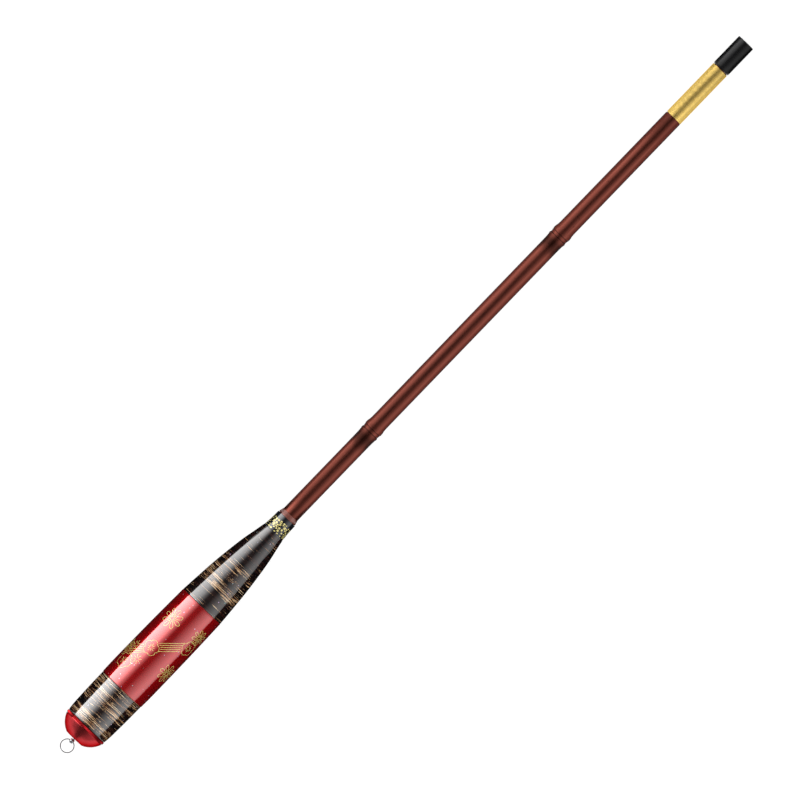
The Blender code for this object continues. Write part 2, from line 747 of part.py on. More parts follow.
def tell(lay, tilt):
    """Print the sizes, joint points and axes that the record states."""
    axis = lay.to_3x3() @ Vector((1.0, 0.0, 0.0))
    print(f"tilt {math.degrees(tilt):.4f} deg, axis {tuple(round(v, 8) for v in axis)}")
    up = lay.to_3x3() @ Vector((0.0, 0.0, 1.0))
    print(f"across {tuple(round(v, 8) for v in up)}")
    points = {
        "eye": (EYE_CENTRE, 0.0),
        "ring_middle": (RING_OUTER, 0.0),
        "cap_face": (CAP_FACE, 0.0),
        "cap_flat_point": (CAP_FACE, 4.0 * MM),
        "cap_shoulder": (CAP_SHOULDER, 0.0),
        "mouth": (MOUTH, 0.0),
        "line_eye": (LINE_EYE_CENTRE, 0.0),
        "plug_face": (PLUG_END, 0.0),
    }
    for name, (x, z) in points.items():
        place = lay @ Vector((x, 0.0, z))
        print(f"{name} {tuple(round(v, 7) for v in place)}")
    print(f"section_2 travel {MOUTH - SECTION_2_OVERLAP - SECTION_REAR:.5f}")
    print(f"section_3 travel {SECTION_2_FRONT - SECTION_3_OVERLAP - SECTION_REAR:.5f}")
    print(f"tip travel {SECTION_3_FRONT - TIP_OVERLAP - SECTION_REAR:.5f}")
    print(f"cap travel {CAP_TURNS * THREAD_PITCH:.5f}, metres per radian {THREAD_PITCH / math.tau:.9f}")


make_grip()
make_butt_section()
make_winding()
make_sections()
make_line_eye()
make_plug()
make_cap()
make_eye_and_ring()
tell(*lay_on_floor())
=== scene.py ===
"""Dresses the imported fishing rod: lacquers, gold line work, thread winding, turned metal, on a pale floor."""

from math import asin, cos, hypot, pi, radians, sin, sqrt, tau

import bmesh
import bpy
from mathutils import Matrix, Vector


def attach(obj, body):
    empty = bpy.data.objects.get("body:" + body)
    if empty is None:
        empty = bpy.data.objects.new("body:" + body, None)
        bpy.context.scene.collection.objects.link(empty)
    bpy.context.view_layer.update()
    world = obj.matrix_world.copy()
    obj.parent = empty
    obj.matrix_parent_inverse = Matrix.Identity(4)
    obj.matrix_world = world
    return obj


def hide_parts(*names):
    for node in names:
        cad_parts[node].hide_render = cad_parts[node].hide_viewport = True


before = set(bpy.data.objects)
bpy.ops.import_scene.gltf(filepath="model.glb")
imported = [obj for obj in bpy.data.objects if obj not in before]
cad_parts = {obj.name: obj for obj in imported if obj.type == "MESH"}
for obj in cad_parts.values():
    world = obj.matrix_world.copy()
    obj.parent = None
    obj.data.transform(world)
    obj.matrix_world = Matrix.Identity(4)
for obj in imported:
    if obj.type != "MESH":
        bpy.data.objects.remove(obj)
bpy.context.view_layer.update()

# The rod's own frame: millimetres, X from the ring end to the plug end, Z away from the floor
MM = 0.001
RING_END = Vector((-0.3200431, 0.0, 0.0191817))
TILT = asin(0.01929593)
LAY = Matrix.Translation(RING_END) @ Matrix.Rotation(TILT, 4, "Y") @ Matrix.Diagonal((MM, MM, MM, 1.0))

# The solids have 30 flat sides, so the round pieces stay just inside their flats
ROUND = cos(pi / 30) - 0.0015
SIDES = 144
BLANK_SIDES = 96
SMALL_SIDES = 72
TINY_SIDES = 48
SHARP_ANGLE = radians(35.0)

# Stations and radii along the rod
GRIP_START = 22.95
BAND_RADII = [(22.95, 15.95), (27.0, 16.35), (34.0, 16.65), (44.0, 16.9), (56.0, 17.0)]
RED_RADII = [(56.0, 17.25), (62.0, 17.4), (68.0, 17.45), (84.0, 17.4), (104.0, 17.25), (118.0, 17.0),
             (130.8, 16.75)]
CONE_RADII = [(130.8, 16.7), (143.0, 15.8), (156.0, 14.75), (169.0, 13.25), (182.0, 11.35), (191.0, 9.5),
              (198.0, 8.15)]
COLLAR_RADII = [(198.0, 8.0), (203.0, 7.6), (210.15, 7.4)]
FLECKS_START = 198.2
FLECKS_END = 207.4
CHECK_RADII = [(210.3, 6.9), (211.1, 6.9), (212.5, 6.5), (213.5, 6.4)]
LACQUER_WALL = 1.2
JOINT_GAP = 0.07
BLANK_RADIUS = 6.1
BLANK_START = 36.4
MOUTH = 616.2
MOUTH_BORE = 4.9
BORE_TAPER = 0.0009
WINDING_SEAT = 5.55
NODES = (287.3, 463.1)
NODE_RELIEF = [(-6.5, 0.0), (-3.0, 0.08), (-1.0, 0.26), (-0.4, 0.42), (0.3, 0.46), (0.7, 0.26), (1.3, 0.08),
               (2.2, 0.14), (2.8, 0.3), (3.1, 0.24), (3.4, 0.42), (4.4, 0.58), (5.8, 0.48), (7.4, 0.16),
               (9.5, 0.0)]
WINDING_START = 571.95
WINDING_END = 615.95
WINDING_TURNS = 80
THREAD_WIDE = 0.54
THREAD_RELIEF = 0.35
SECTION_REAR = 36.2
# Rear radius, front station and wall of each inner tube
SECTIONS = {"section_2": (4.8405, 597.2, 0.75), "section_3": (3.5213, 600.0, 0.7)}
TIP_FRONT = 603.3
TIP_END_RADIUS = 0.6
TIP_SEAT_LENGTH = 40.0
PLUG_BASE = 616.4
PLUG_END = 640.1
PLUG_RADIUS = 6.35
SLEEVE_START = 598.2
CAP_FACE = 11.25
CAP_SHOULDER = 22.75
CAP_DOME_RADIUS = 15.9
CAP_DOME_CENTRE = 25.9
CAP_DOME_LIFT = 0.66
CAP_DOME_END = 20.5
KNURL_START = 20.85
KNURL_RADIUS = 16.0
KNURL_DEPTH = 0.2
KNURL_RIBS = 155
SPIGOT_END = 33.9
THREAD_RADIUS = 10.0
THREAD_PITCH = 2.0
THREAD_DEPTH = 0.9
THREAD_START = 26.4
THREAD_TURNS = 3.25
INNER_THREAD_START = 25.55
EYE_CENTRE = 9.08
EYE_RADIUS = 1.75
EYE_HOLE = 0.9
EYE_NECK = 0.9
RING_OUTER = 4.74
LINE_EYE_CENTRE = 609.1
LINE_EYE_RADIUS = 1.05
LINE_EYE_STEM = 0.32

# Ornament on the red sleeve, in millimetres
LINE_BEAD = 0.16
LINE_SINK = 0.012
LINE_RELIEF = 0.15
RED_MIDDLE_RADIUS = 17.3
RIBBON_SPACING = 1.806
RIBBON_LINES = 5

# Finishes
POLISHED_COAT = {"Coat_Weight": 1.0, "Coat_Roughness": 0.015, "Specular_IOR_Level": 0.1}
FLAKE_TINTS = [(0.0, "C9B8E6"), (0.3, "E8D5F0"), (0.5, "B06AA8"), (0.65, "D9DDF2"), (0.8, "6FA39A"),
               (1.0, "7FC3DE")]
FOIL_TONES = [(0.36, "4A2C1C"), (0.45, "9C6A44"), (0.54, "DCB080"), (0.66, "FBE8C2")]
# How thick the foil lies, by share of the way along the rear band and along the front cone
REAR_FOIL = [(0.0, 0.2), (0.05, 0.8), (0.12, 0.9), (0.2, 0.85), (0.26, 0.3), (0.33, 0.1), (0.42, 0.2),
             (0.46, 0.85), (0.5, 0.45), (0.54, 0.85), (0.58, 0.4), (0.63, 0.85), (0.68, 0.35), (0.75, 0.95),
             (0.81, 0.8), (0.85, 0.4), (0.9, 0.85), (0.95, 0.5), (1.0, 0.8)]
FRONT_FOIL = [(0.0, 0.1), (0.018, 0.3), (0.024, 0.95), (0.034, 0.0), (0.09, 0.1), (0.104, 0.5), (0.12, 0.0),
              (0.19, 0.2), (0.215, 0.8), (0.25, 0.9), (0.3, 0.9), (0.335, 0.7), (0.35, 0.2), (0.365, 0.6),
              (0.39, 0.2), (0.414, 0.5), (0.43, 0.1), (0.445, 0.5), (0.47, 0.1), (0.5, 0.4), (0.53, 0.6),
              (0.56, 0.1), (0.6, 0.0), (0.9, 0.0), (0.907, 0.7), (0.914, 0.0), (1.0, 0.0)]

# Studio: what a mirror beside the rod would see, as angle in degrees from straight up and brightness
KEY_SIDE = [(8, 0.1), (14, 0.5), (24, 1.6), (35, 3.7), (47, 5.4), (60, 6.8), (70, 7.6), (83, 8.0)]
FILL_SIDE = [(8, 0.08), (14, 0.26), (24, 0.6), (36, 1.05), (48, 1.5), (60, 1.9), (72, 1.9), (80, 1.5),
             (88, 0.9)]
# How strong each diffuser is along the rod, as place in metres and share
KEY_RUN = [(-6.0, 0.07), (-0.8, 0.07), (-0.5, 0.8), (-0.15, 0.8), (-0.1, 0.58), (0.65, 0.56)]
FILL_RUN = [(-6.0, 0.26), (-0.8, 0.26), (-0.5, 0.8), (-0.15, 0.8), (-0.1, 0.55), (0.65, 0.53)]
# A second pair close to the tube gives tube, thread and plug their own levels, out of the grip's sight
TUBE_KEY_RUN = [(-0.104, 0.385), (0.24, 0.41), (0.254, 0.175), (0.294, 0.175), (0.3, 0.32), (0.36, 0.32)]
TUBE_FILL_RUN = [(-0.104, 1.12), (0.24, 1.12), (0.254, 0.88), (0.294, 0.86), (0.3, 0.45), (0.36, 0.45)]
TUBE_REACH = 0.04
PANEL_REACH = 1.0
PANEL_STEPS = 36
ROD_HEIGHT = 0.013
SOFTBOX_SIZE = 3.0
SOFTBOX_HEIGHT = 2.5
SOFTBOX_LEVEL = 2.4
FLOOR_HALF = 6.0
FLOOR_BEND = 0.33
FLOOR_FALL = 0.17
PAPER_GLOW = 0.86
FRAME_WIDTH = 0.52
LENS = 700.0
SENSOR = 36.0
PHOTO_TURN = radians(46.003)
PHOTO_MIDDLE = Vector((316.68, 0.5, 0.0))

scene = bpy.context.scene


# Colour and node helpers
def srgb(code):
    """An sRGB hex colour as linear RGBA."""
    channels = [int(code[i : i + 2], 16) / 255 for i in (0, 2, 4)]
    return tuple(c / 12.92 if c <= 0.04045 else ((c + 0.055) / 1.055) ** 2.4 for c in channels) + (1.0,)


def add(tree, kind, links=(), stops=(), **settings):
    """Add a node and give its outputs. Settings are its properties, links its inputs, stops a ramp's."""
    node = tree.nodes.new(kind)
    for key, value in settings.items():
        setattr(node, key, value)
    for key, value in dict(links).items():
        if isinstance(value, bpy.types.NodeSocket):
            tree.links.new(value, node.inputs[key])
        else:
            node.inputs[key].default_value = value
    if stops:
        elements = node.color_ramp.elements
        while len(elements) < len(stops):
            elements.new(1.0)
        for element, (place, colour) in zip(elements, stops):
            element.position = place
            element.color = srgb(colour) if isinstance(colour, str) else (colour, colour, colour, 1.0)
    return node.outputs


def maths(tree, operation, *values):
    """The result of a math node."""
    return add(tree, "ShaderNodeMath", enumerate(values), operation=operation)[0]


def noise(tree, place, detail=2.0, **more):
    """A noise with one cell for each unit of place, unless another scale is given."""
    links = {"Vector": place, "Scale": 1.0, "Detail": detail, **more}
    return add(tree, "ShaderNodeTexNoise", links)[0]


def ramp(tree, value, *stops):
    return add(tree, "ShaderNodeValToRGB", {0: value}, stops)[0]


def spread(tree, value, low, high, start=0.3, end=0.7, **settings):
    """Carry a value that runs from start to end over to run from low to high."""
    links = {"Value": value, "From Min": start, "From Max": end, "To Min": low, "To Max": high}
    return add(tree, "ShaderNodeMapRange", links, **settings)[0]


def split(tree, place):
    return add(tree, "ShaderNodeSeparateXYZ", {0: place})


def stretched(tree, rod, along, across):
    """Pattern coordinates with this many cells per millimetre along the rod and across it."""
    return add(tree, "ShaderNodeMapping", {"Vector": rod, "Scale": (along, across, across)})[0]


def blended(tree, factor, first, second):
    """The first colour where the factor is 0 and the second where it is 1."""
    return add(tree, "ShaderNodeMix", {"Factor": factor, 6: first, 7: second}, data_type="RGBA")[2]


def plain_look(name, **constants):
    """A new material, its node tree, and its shader with those constants set."""
    made = bpy.data.materials.new(name)
    made.use_nodes = True
    tree = made.node_tree
    shader = tree.nodes["Principled BSDF"]
    for key, value in constants.items():
        shader.inputs[key.replace("_", " ")].default_value = value
    return made, tree, shader


def look(name, **constants):
    """The same, and the rod's own coordinates in millimetres."""
    made, tree, shader = plain_look(name, **constants)
    place = add(tree, "ShaderNodeTexCoord")["Object"]
    lie = {"Vector": place, "Location": RING_END, "Rotation": (0.0, TILT, 0.0), "Scale": (MM, MM, MM)}
    return made, tree, shader, add(tree, "ShaderNodeMapping", lie, vector_type="TEXTURE")[0]


def connect(tree, shader, **sockets):
    for key, value in sockets.items():
        tree.links.new(value, shader.inputs[key.replace("_", " ")])


def waves(tree, rod, shader, along, across, height, coat=True):
    """Low relief from a noise with these cells per millimetre, height in millimetres."""
    level = noise(tree, stretched(tree, rod, along, across))
    links = {"Height": level, "Strength": 1.0, "Distance": height * MM}
    bump = add(tree, "ShaderNodeBump", links)[0]
    connect(tree, shader, Normal=bump)
    if coat:
        connect(tree, shader, Coat_Normal=bump)


def uneven_gloss(tree, rod, shader, low, high, along, across):
    """Roughness that wanders between two values, as handling and polishing leave it."""
    marks = noise(tree, stretched(tree, rod, along, across), 3.0)
    connect(tree, shader, Roughness=spread(tree, marks, low, high))


def with_flakes(tree, rod, colour, spacing, radius, share):
    """Pearl flakes in the clear coat: small dots of pale violet, green and blue over the colour below."""
    cells = add(tree, "ShaderNodeTexVoronoi", {"Vector": rod, "Scale": 1.0 / spacing})
    draws = add(tree, "ShaderNodeSeparateColor", {0: cells["Color"]})
    near = maths(tree, "LESS_THAN", cells["Distance"], radius / spacing)
    mask = maths(tree, "MULTIPLY", near, maths(tree, "LESS_THAN", draws[0], share))
    return blended(tree, mask, colour, ramp(tree, draws[1], *FLAKE_TINTS))


# Finishes
def streaked_lacquer(name, stations, strength):
    """Black urethane lacquer over brushed-on foil, then clear coat polished flat.

    The foil lies in hair-fine rings round the grip, copper to pale gold, in drifts between plain black.
    Strength lists how thick the drifts are, by share of the way from the first station to the last.
    """
    first, last = stations[0][0], stations[-1][0]
    made, tree, shader, rod = look(name, **POLISHED_COAT, Coat_IOR=1.99)
    station, y, z = split(tree, rod)
    # The rings waver by about half a millimetre on their way round
    sway = maths(tree, "MULTIPLY_ADD", noise(tree, rod, 1.0, Scale=0.09), 1.4, station)
    swayed = add(tree, "ShaderNodeCombineXYZ", {0: sway, 1: y, 2: z})[0]
    # One hair is about 0.6 mm thick and 20 mm long, coarser than the real foil so that it shows
    hairs = stretched(tree, swayed, 1.8, 0.05)
    fine = noise(tree, hairs, Roughness=0.65)
    thick = ramp(tree, spread(tree, sway, 0.0, 1.0, first + 0.7, last + 0.7), *strength)
    patchy = spread(tree, noise(tree, stretched(tree, rod, 0.25, 0.09)), -0.06, 0.045)
    lifted = maths(tree, "MULTIPLY_ADD", thick, 0.16, patchy)
    # Brush marks break each hair into grains about a millimetre long
    grain = noise(tree, stretched(tree, rod, 0.7, 1.1), 1.0)
    hair = maths(tree, "ADD", fine, maths(tree, "MULTIPLY_ADD", grain, 0.16, -0.08))
    foil = spread(tree, maths(tree, "ADD", hair, lifted), 0.0, 1.0, 0.645, 0.695)
    tone = ramp(tree, noise(tree, hairs, 3.0, Scale=1.3, Roughness=0.7), *FOIL_TONES)
    # The ground itself shows faint brown rings
    rings = noise(tree, stretched(tree, rod, 1.3, 0.05), 3.0)
    ground = ramp(tree, rings, (0.45, "080405"), (0.72, "32160F"))
    colour = with_flakes(tree, rod, blended(tree, foil, ground, tone), 4.2, 0.35, 0.5)
    connect(tree, shader, Base_Color=colour, Metallic=maths(tree, "MULTIPLY", foil, 0.05))
    uneven_gloss(tree, rod, shader, 0.22, 0.34, 0.5, 0.1)
    waves(tree, rod, shader, 0.12, 0.12, 0.01)
    return made


def make_red_lacquer():
    """Candy red lacquer: clear red over bright metal, so it glows in the light and is deep elsewhere."""
    made, tree, shader, rod = look("candy_red_lacquer_polished", **POLISHED_COAT, Coat_IOR=1.89)
    ground = ramp(tree, noise(tree, stretched(tree, rod, 0.05, 0.1)), (0.3, "AA040A"), (0.7, "B8060C"))
    metal = spread(tree, noise(tree, rod, 1.0, Scale=3.0), 0.56, 0.62)
    connect(tree, shader, Base_Color=with_flakes(tree, rod, ground, 2.6, 0.3, 0.42), Metallic=metal)
    uneven_gloss(tree, rod, shader, 0.2, 0.26, 0.2, 0.2)
    waves(tree, rod, shader, 0.12, 0.12, 0.01)
    return made


def make_black_collar():
    """Black lacquer with a blue cast in its depth, polished; the gold leaf lies on it."""
    made, tree, shader, rod = look("black_lacquer_polished", **POLISHED_COAT, Coat_IOR=1.82)
    ground = ramp(tree, noise(tree, rod, 3.0, Scale=0.4), (0.35, "0A0A0E"), (0.7, "1B1E26"))
    connect(tree, shader, Base_Color=with_flakes(tree, rod, ground, 3.0, 0.25, 0.4))
    uneven_gloss(tree, rod, shader, 0.2, 0.3, 0.3, 0.3)
    waves(tree, rod, shader, 0.15, 0.15, 0.008)
    return made


def with_scorches(tree, rod, colour):
    """Paint scorched dark behind each node, hair lines at the node itself and a few small specks about."""
    station = split(tree, rod)[0]
    smoke = noise(tree, stretched(tree, rod, 0.1, 0.16))
    shifted = maths(tree, "ADD", station, maths(tree, "MULTIPLY_ADD", smoke, -9.0, 4.5))
    smooth = {"interpolation_type": "SMOOTHSTEP"}
    for node in NODES:
        rise = spread(tree, shifted, 0.0, 1.0, node - 14.5, node - 6.0, **smooth)
        fall = spread(tree, station, 1.0, 0.3, node - 4.0, node + 0.6, **smooth)
        behind = maths(tree, "LESS_THAN", station, node + 1.0)
        kept = maths(tree, "MULTIPLY", maths(tree, "MULTIPLY", rise, fall), behind)
        colour = blended(tree, maths(tree, "MULTIPLY", kept, 0.85), colour, srgb("2A120C"))
        # Two dark hair lines run along the two edges of the groove at each node
        for line, wide in ((node + 0.7, 0.28), (node + 3.05, 0.25)):
            drawn = maths(tree, "COMPARE", station, line, wide)
            colour = blended(tree, maths(tree, "MULTIPLY", drawn, 0.75), colour, srgb("210D08"))
    place = stretched(tree, rod, 0.16, 0.3)
    cells = add(tree, "ShaderNodeTexVoronoi", {"Vector": place, "Scale": 1.0})
    draws = add(tree, "ShaderNodeSeparateColor", {0: cells["Color"]})
    near = spread(tree, cells["Distance"], 0.7, 0.0, 0.05, 0.13)
    speck = maths(tree, "MULTIPLY", near, maths(tree, "LESS_THAN", draws[0], 0.22))
    return blended(tree, speck, colour, srgb("1E0C08"))


def bamboo_paint(name, code_low, code_high, scorched=False):
    """Carbon tube painted as smoked bamboo: a metallic brown with fine fibres, rubbed to a satin gloss."""
    coat = {"Coat_Weight": 0.06, "Coat_Roughness": 0.22, "Coat_IOR": 1.5}
    made, tree, shader, rod = look(name, **coat, Specular_Tint=srgb("5A3026"))
    # Fibres are 0.4 mm wide and some centimetres long
    fibres = noise(tree, stretched(tree, rod, 0.03, 2.2), 4.0)
    colour = ramp(tree, fibres, (0.35, code_low), (0.65, code_high))
    if scorched:
        colour = with_scorches(tree, rod, colour)
    metal = spread(tree, noise(tree, stretched(tree, rod, 0.1, 3.0)), 0.82, 0.95)
    connect(tree, shader, Base_Color=colour, Metallic=metal)
    uneven_gloss(tree, rod, shader, 0.26, 0.34, 0.04, 1.0)
    waves(tree, rod, shader, 0.05, 1.6, 0.012, coat=False)
    return made


def anodised(name, deep, bright, centre):
    """Turned aluminium, anodised red: metal seen through a clear dye, with the lathe's fine rings in it."""
    made, tree, shader, rod = look(name, Metallic=1.0, Specular_Tint=srgb("944E52"))
    place = add(tree, "ShaderNodeMapping", {"Vector": rod, "Location": (-centre, 0.0, 0.0)})[0]
    # The tool leaves rings 0.05 mm apart, drawn at 0.15 mm so that they show
    rings = noise(tree, stretched(tree, place, 7.0, 0.05))
    bump = add(tree, "ShaderNodeBump", {"Height": rings, "Strength": 0.5, "Distance": 0.01 * MM})
    colour = ramp(tree, noise(tree, rod, 3.0, Scale=0.15), (0.35, deep), (0.65, bright))
    connect(tree, shader, Base_Color=colour, Normal=bump[0])
    uneven_gloss(tree, rod, shader, 0.26, 0.34, 3.0, 0.2)
    return made


def make_light_wood():
    """Turned paulownia, sealed: pale straw wood with open growth rings running along the grip."""
    made, tree, shader, rod = look("paulownia_turned", IOR=1.45)
    heart = {"Vector": rod, "Location": (0.0, 9.0, -14.0), "Scale": (0.04, 1.0, 1.0)}
    place = add(tree, "ShaderNodeMapping", heart)[0]
    grain = {"Vector": place, "Scale": 0.35, "Distortion": 2.0, "Detail": 3.0, "Detail Scale": 2.0}
    rings = add(tree, "ShaderNodeTexWave", grain, wave_type="RINGS", rings_direction="X")[1]
    tones = [(0.2, "8E6B3F"), (0.6, "BF9E6C"), (0.9, "D0B384")]
    connect(tree, shader, Base_Color=ramp(tree, rings, *tones))
    uneven_gloss(tree, rod, shader, 0.5, 0.7, 0.1, 1.0)
    waves(tree, rod, shader, 0.1, 2.0, 0.05, coat=False)
    return made


def grained(name, grain, tones, gloss, relief, metal=None, coat=False, **constants):
    """A finish of one grain, given as its cells per millimetre along the rod and across it, and its detail.

    The grain picks the tone and, between the two levels of metal, how metallic the finish is.
    Gloss and relief are the numbers that uneven_gloss and waves take.
    """
    made, tree, shader, rod = look(name, **constants)
    along, across, detail = grain
    marks = noise(tree, stretched(tree, rod, along, across), detail)
    connect(tree, shader, Base_Color=ramp(tree, marks, *tones))
    if metal:
        connect(tree, shader, Metallic=spread(tree, marks, *metal))
    uneven_gloss(tree, rod, shader, *gloss)
    waves(tree, rod, shader, *relief, coat=coat)
    return made


def make_gold_line():
    """Raised line work of gold powder in lacquer: warm, slightly grainy metal under the same clear coat."""
    tones = [(0.3, "C6C452"), (0.5, "ECEA80"), (0.7, "F8F4B0")]
    coat = {"Coat_Weight": 1.0, "Coat_Roughness": 0.03, "Coat_IOR": 1.7, "Specular_IOR_Level": 0.1}
    return grained("gold_powder_line_under_coat", (4.0, 4.0, 2.0), tones, (0.3, 0.5, 2.0, 2.0),
                   (3.0, 3.0, 0.03), (0.1, 0.2), **coat)


def make_gold_leaf():
    """Scraps of gold leaf pressed into wet lacquer: pale, crinkled, bright."""
    tones = [(0.3, "B8AA58"), (0.48, "ECDE86"), (0.7, "FBF0B4")]
    coat = {"Coat_Weight": 0.6, "Coat_Roughness": 0.05, "Coat_IOR": 1.5}
    return grained("gold_leaf_scraps", (2.2, 2.2, 3.0), tones, (0.25, 0.45, 1.5, 1.5),
                   (2.0, 2.0, 0.04), (0.2, 0.4), **coat)


def make_gold_thread():
    """Metallic gold thread, twisted from fine strips: bright along each turn, shaded at each twist."""
    tones = [(0.3, "C8A650"), (0.5, "DABA66"), (0.7, "E6CA7C")]
    coat = {"Coat_Weight": 0.08, "Coat_Roughness": 0.2, "Specular_Tint": srgb("D8BC70")}
    # A twist is about 0.3 mm long
    return grained("gold_metallic_thread", (3.0, 4.0, 1.0), tones, (0.32, 0.38, 4.0, 4.0),
                   (4.0, 5.0, 0.004), (0.85, 0.95), **coat)


def make_horn_check():
    """Brown lacquered horn ring in front of the grip: warm, clear-coated with the collar beside it."""
    tones = [(0.35, "5A2C22"), (0.7, "84463A")]
    coat = {"Coat_Weight": 0.4, "Coat_Roughness": 0.05, "Coat_IOR": 1.5}
    return grained("brown_horn_lacquered", (0.2, 0.9, 3.0), tones, (0.3, 0.4, 0.5, 0.5),
                   (0.4, 0.4, 0.006), (0.2, 0.4), True, **coat)


def make_black_plastic():
    """Black acetal, turned and lightly polished: near black, a satin sheen with faint lathe rings."""
    tones = [(0.35, "070708"), (0.7, "0D0D0F")]
    return grained("black_acetal_turned", (2.5, 0.03, 2.0), tones, (0.24, 0.34, 2.0, 0.1),
                   (2.5, 0.05, 0.004), IOR=1.4)


def bare_metal(name, dark, pale, low, high, along, across):
    """Bare metal: turned rings where cells are short along the rod, polish marks where they are even."""
    return grained(name, (along, across, 3.0), [(0.35, dark), (0.65, pale)], (low, high, along, across),
                   (along, across, 0.004), Metallic=1.0)


def soft_rubber(name, dark, pale):
    """Moulded rubber: dull, with a fine powdery bloom and a slight grain from the mould."""
    return grained(name, (0.9, 0.9, 4.0), [(0.35, dark), (0.7, pale)], (0.6, 0.8, 1.0, 1.0),
                   (3.0, 3.0, 0.02), IOR=1.5)


# Shapes, drawn in the rod's millimetres
def placed(name, data):
    obj = bpy.data.objects.new(name, data)
    scene.collection.objects.link(obj)
    return obj


def as_mesh(name, bm):
    mesh = bpy.data.meshes.new(name)
    bm.to_mesh(mesh)
    bm.free()
    return mesh


def new_mesh(name, bm):
    bmesh.ops.remove_doubles(bm, verts=bm.verts, dist=1e-5)
    bmesh.ops.recalc_face_normals(bm, faces=bm.faces)
    return as_mesh(name, bm)


def faced(name, corners, faces):
    mesh = bpy.data.meshes.new(name)
    mesh.from_pydata(corners, [], faces)
    return mesh


def turned(name, outline, sides=SIDES, closed=True):
    """A turned piece from (station, radius) pairs, a closed loop or a line that ends on the axis."""
    bm = bmesh.new()
    verts = [bm.verts.new((x, 0.0, r)) for x, r in outline]
    pairs = list(zip(verts, verts[1:]))
    if closed:
        pairs.append((verts[-1], verts[0]))
    edges = [bm.edges.new(pair) for pair in pairs]
    bmesh.ops.spin(
        bm, geom=verts + edges, axis=(1, 0, 0), cent=(0, 0, 0), steps=sides, angle=tau, use_merge=True
    )
    return new_mesh(name, bm)


def curve_through(stations, samples):
    """Stations and radii joined by a smooth curve that bulges no more than they do."""
    xs = [x for x, _ in stations]
    rs = [r for _, r in stations]
    slopes = [(rs[i + 1] - rs[i]) / (xs[i + 1] - xs[i]) for i in range(len(xs) - 1)]
    leans = [slopes[0]] + [(a + b) / 2 for a, b in zip(slopes, slopes[1:])] + [slopes[-1]]
    curve = []
    for n in range(samples + 1):
        x = xs[0] + (xs[-1] - xs[0]) * n / samples
        i = min(sum(x >= mark for mark in xs[1:]), len(slopes) - 1)
        width = xs[i + 1] - xs[i]
        t = (x - xs[i]) / width
        r = (
            (2 * t**3 - 3 * t**2 + 1) * rs[i]
            + (t**3 - 2 * t**2 + t) * width * leans[i]
            + (3 * t**2 - 2 * t**3) * rs[i + 1]
            + (t**3 - t**2) * width * leans[i + 1]
        )
        curve.append((x, min(r, max(rs))))
    return curve


def radius_at(curve, x):
    """The radius of a curve's sample nearest to this station."""
    last = len(curve) - 1
    share = (x - curve[0][0]) / (curve[-1][0] - curve[0][0])
    return curve[min(max(round(share * last), 0), last)][1]


def rounded(curve):
    """A curve's radii, kept inside the flats of the solids."""
    return [(x, r * ROUND) for x, r in curve]


def shell_outline(stations, samples, wall=LACQUER_WALL, edge=0.25):
    """A sleeve's outline, its outer corners rounded by three small steps."""
    curve = rounded(curve_through(stations, samples))
    (x0, r0), (x1, r1) = curve[0], curve[-1]
    x0, x1 = x0 + JOINT_GAP, x1 - JOINT_GAP
    angles = (0.0, pi / 6, pi / 3, pi / 2)
    arc = [(edge * (1 - cos(a)), edge * (1 - sin(a))) for a in angles]
    rear = [(x0 + dx, r0 - dr) for dx, dr in arc]
    front = [(x1 - dx, r1 - dr) for dx, dr in reversed(arc)]
    middle = [(x, r) for x, r in curve if x0 + edge < x < x1 - edge]
    inner = [(min(max(x, x0), x1), r - wall) for x, r in reversed(curve[::4] + [curve[-1]])]
    return rear + middle + front + inner


def open_band(name, stations, sides):
    """An open surface round the axis, its faces always in one order, so what is strewn on it stays put."""
    ring = [tau * j / sides for j in range(sides)]
    verts = [(x, r * sin(angle), r * cos(angle)) for x, r in stations for angle in ring]
    faces = []
    for i in range(len(stations) - 1):
        for j in range(sides):
            here, beside = i * sides + j, i * sides + (j + 1) % sides
            faces.append((here, here + sides, beside + sides, beside))
    return faced(name, verts, faces)


def swept(name, turns, steps, place, section):
    """A strand about the axis: place(turn) gives station, radius and size, section its corners from there."""
    bm = bmesh.new()
    rings = []
    for i in range(round(turns * steps) + 1):
        turn = i / steps
        x, radius, scale = place(turn)
        spin = Matrix.Rotation(turn * tau, 4, "X")
        corners = [(x + dx * scale, 0.0, radius + dr * scale) for dx, dr in section]
        rings.append([bm.verts.new(spin @ Vector(corner)) for corner in corners])
    for ring, after in zip(rings, rings[1:]):
        for j, corner in enumerate(ring):
            k = (j + 1) % len(ring)
            bm.faces.new((corner, ring[k], after[k], after[j]))
    bm.faces.new(rings[0])
    bm.faces.new(rings[-1])
    return new_mesh(name, bm)


def drilled(mesh, centre, radius, rim, reach):
    """A mesh with a hole through it along Y, its two mouths rounded out to a wider rim."""
    bore = [(-reach, 0.0), (-reach, radius + rim),
            (-0.62 * reach, radius + 0.35 * rim), (-0.4 * reach, radius)]
    bore += [(-x, r) for x, r in reversed(bore)]
    cutter = turned("cutter", bore, SMALL_SIDES, closed=False)
    cutter.transform(Matrix.Translation((centre, 0.0, 0.0)) @ Matrix.Rotation(pi / 2, 4, "Z"))
    solid, other = placed("solid", mesh), placed("other", cutter)
    step = solid.modifiers.new("hole", "BOOLEAN")
    step.solver = "EXACT"
    step.object = other
    made = bpy.data.meshes.new_from_object(solid.evaluated_get(bpy.context.evaluated_depsgraph_get()))
    for obj in (solid, other):
        bpy.data.objects.remove(obj)
    return made


def joined(name, *meshes):
    bm = bmesh.new()
    for mesh in meshes:
        bm.from_mesh(mesh)
    return as_mesh(name, bm)


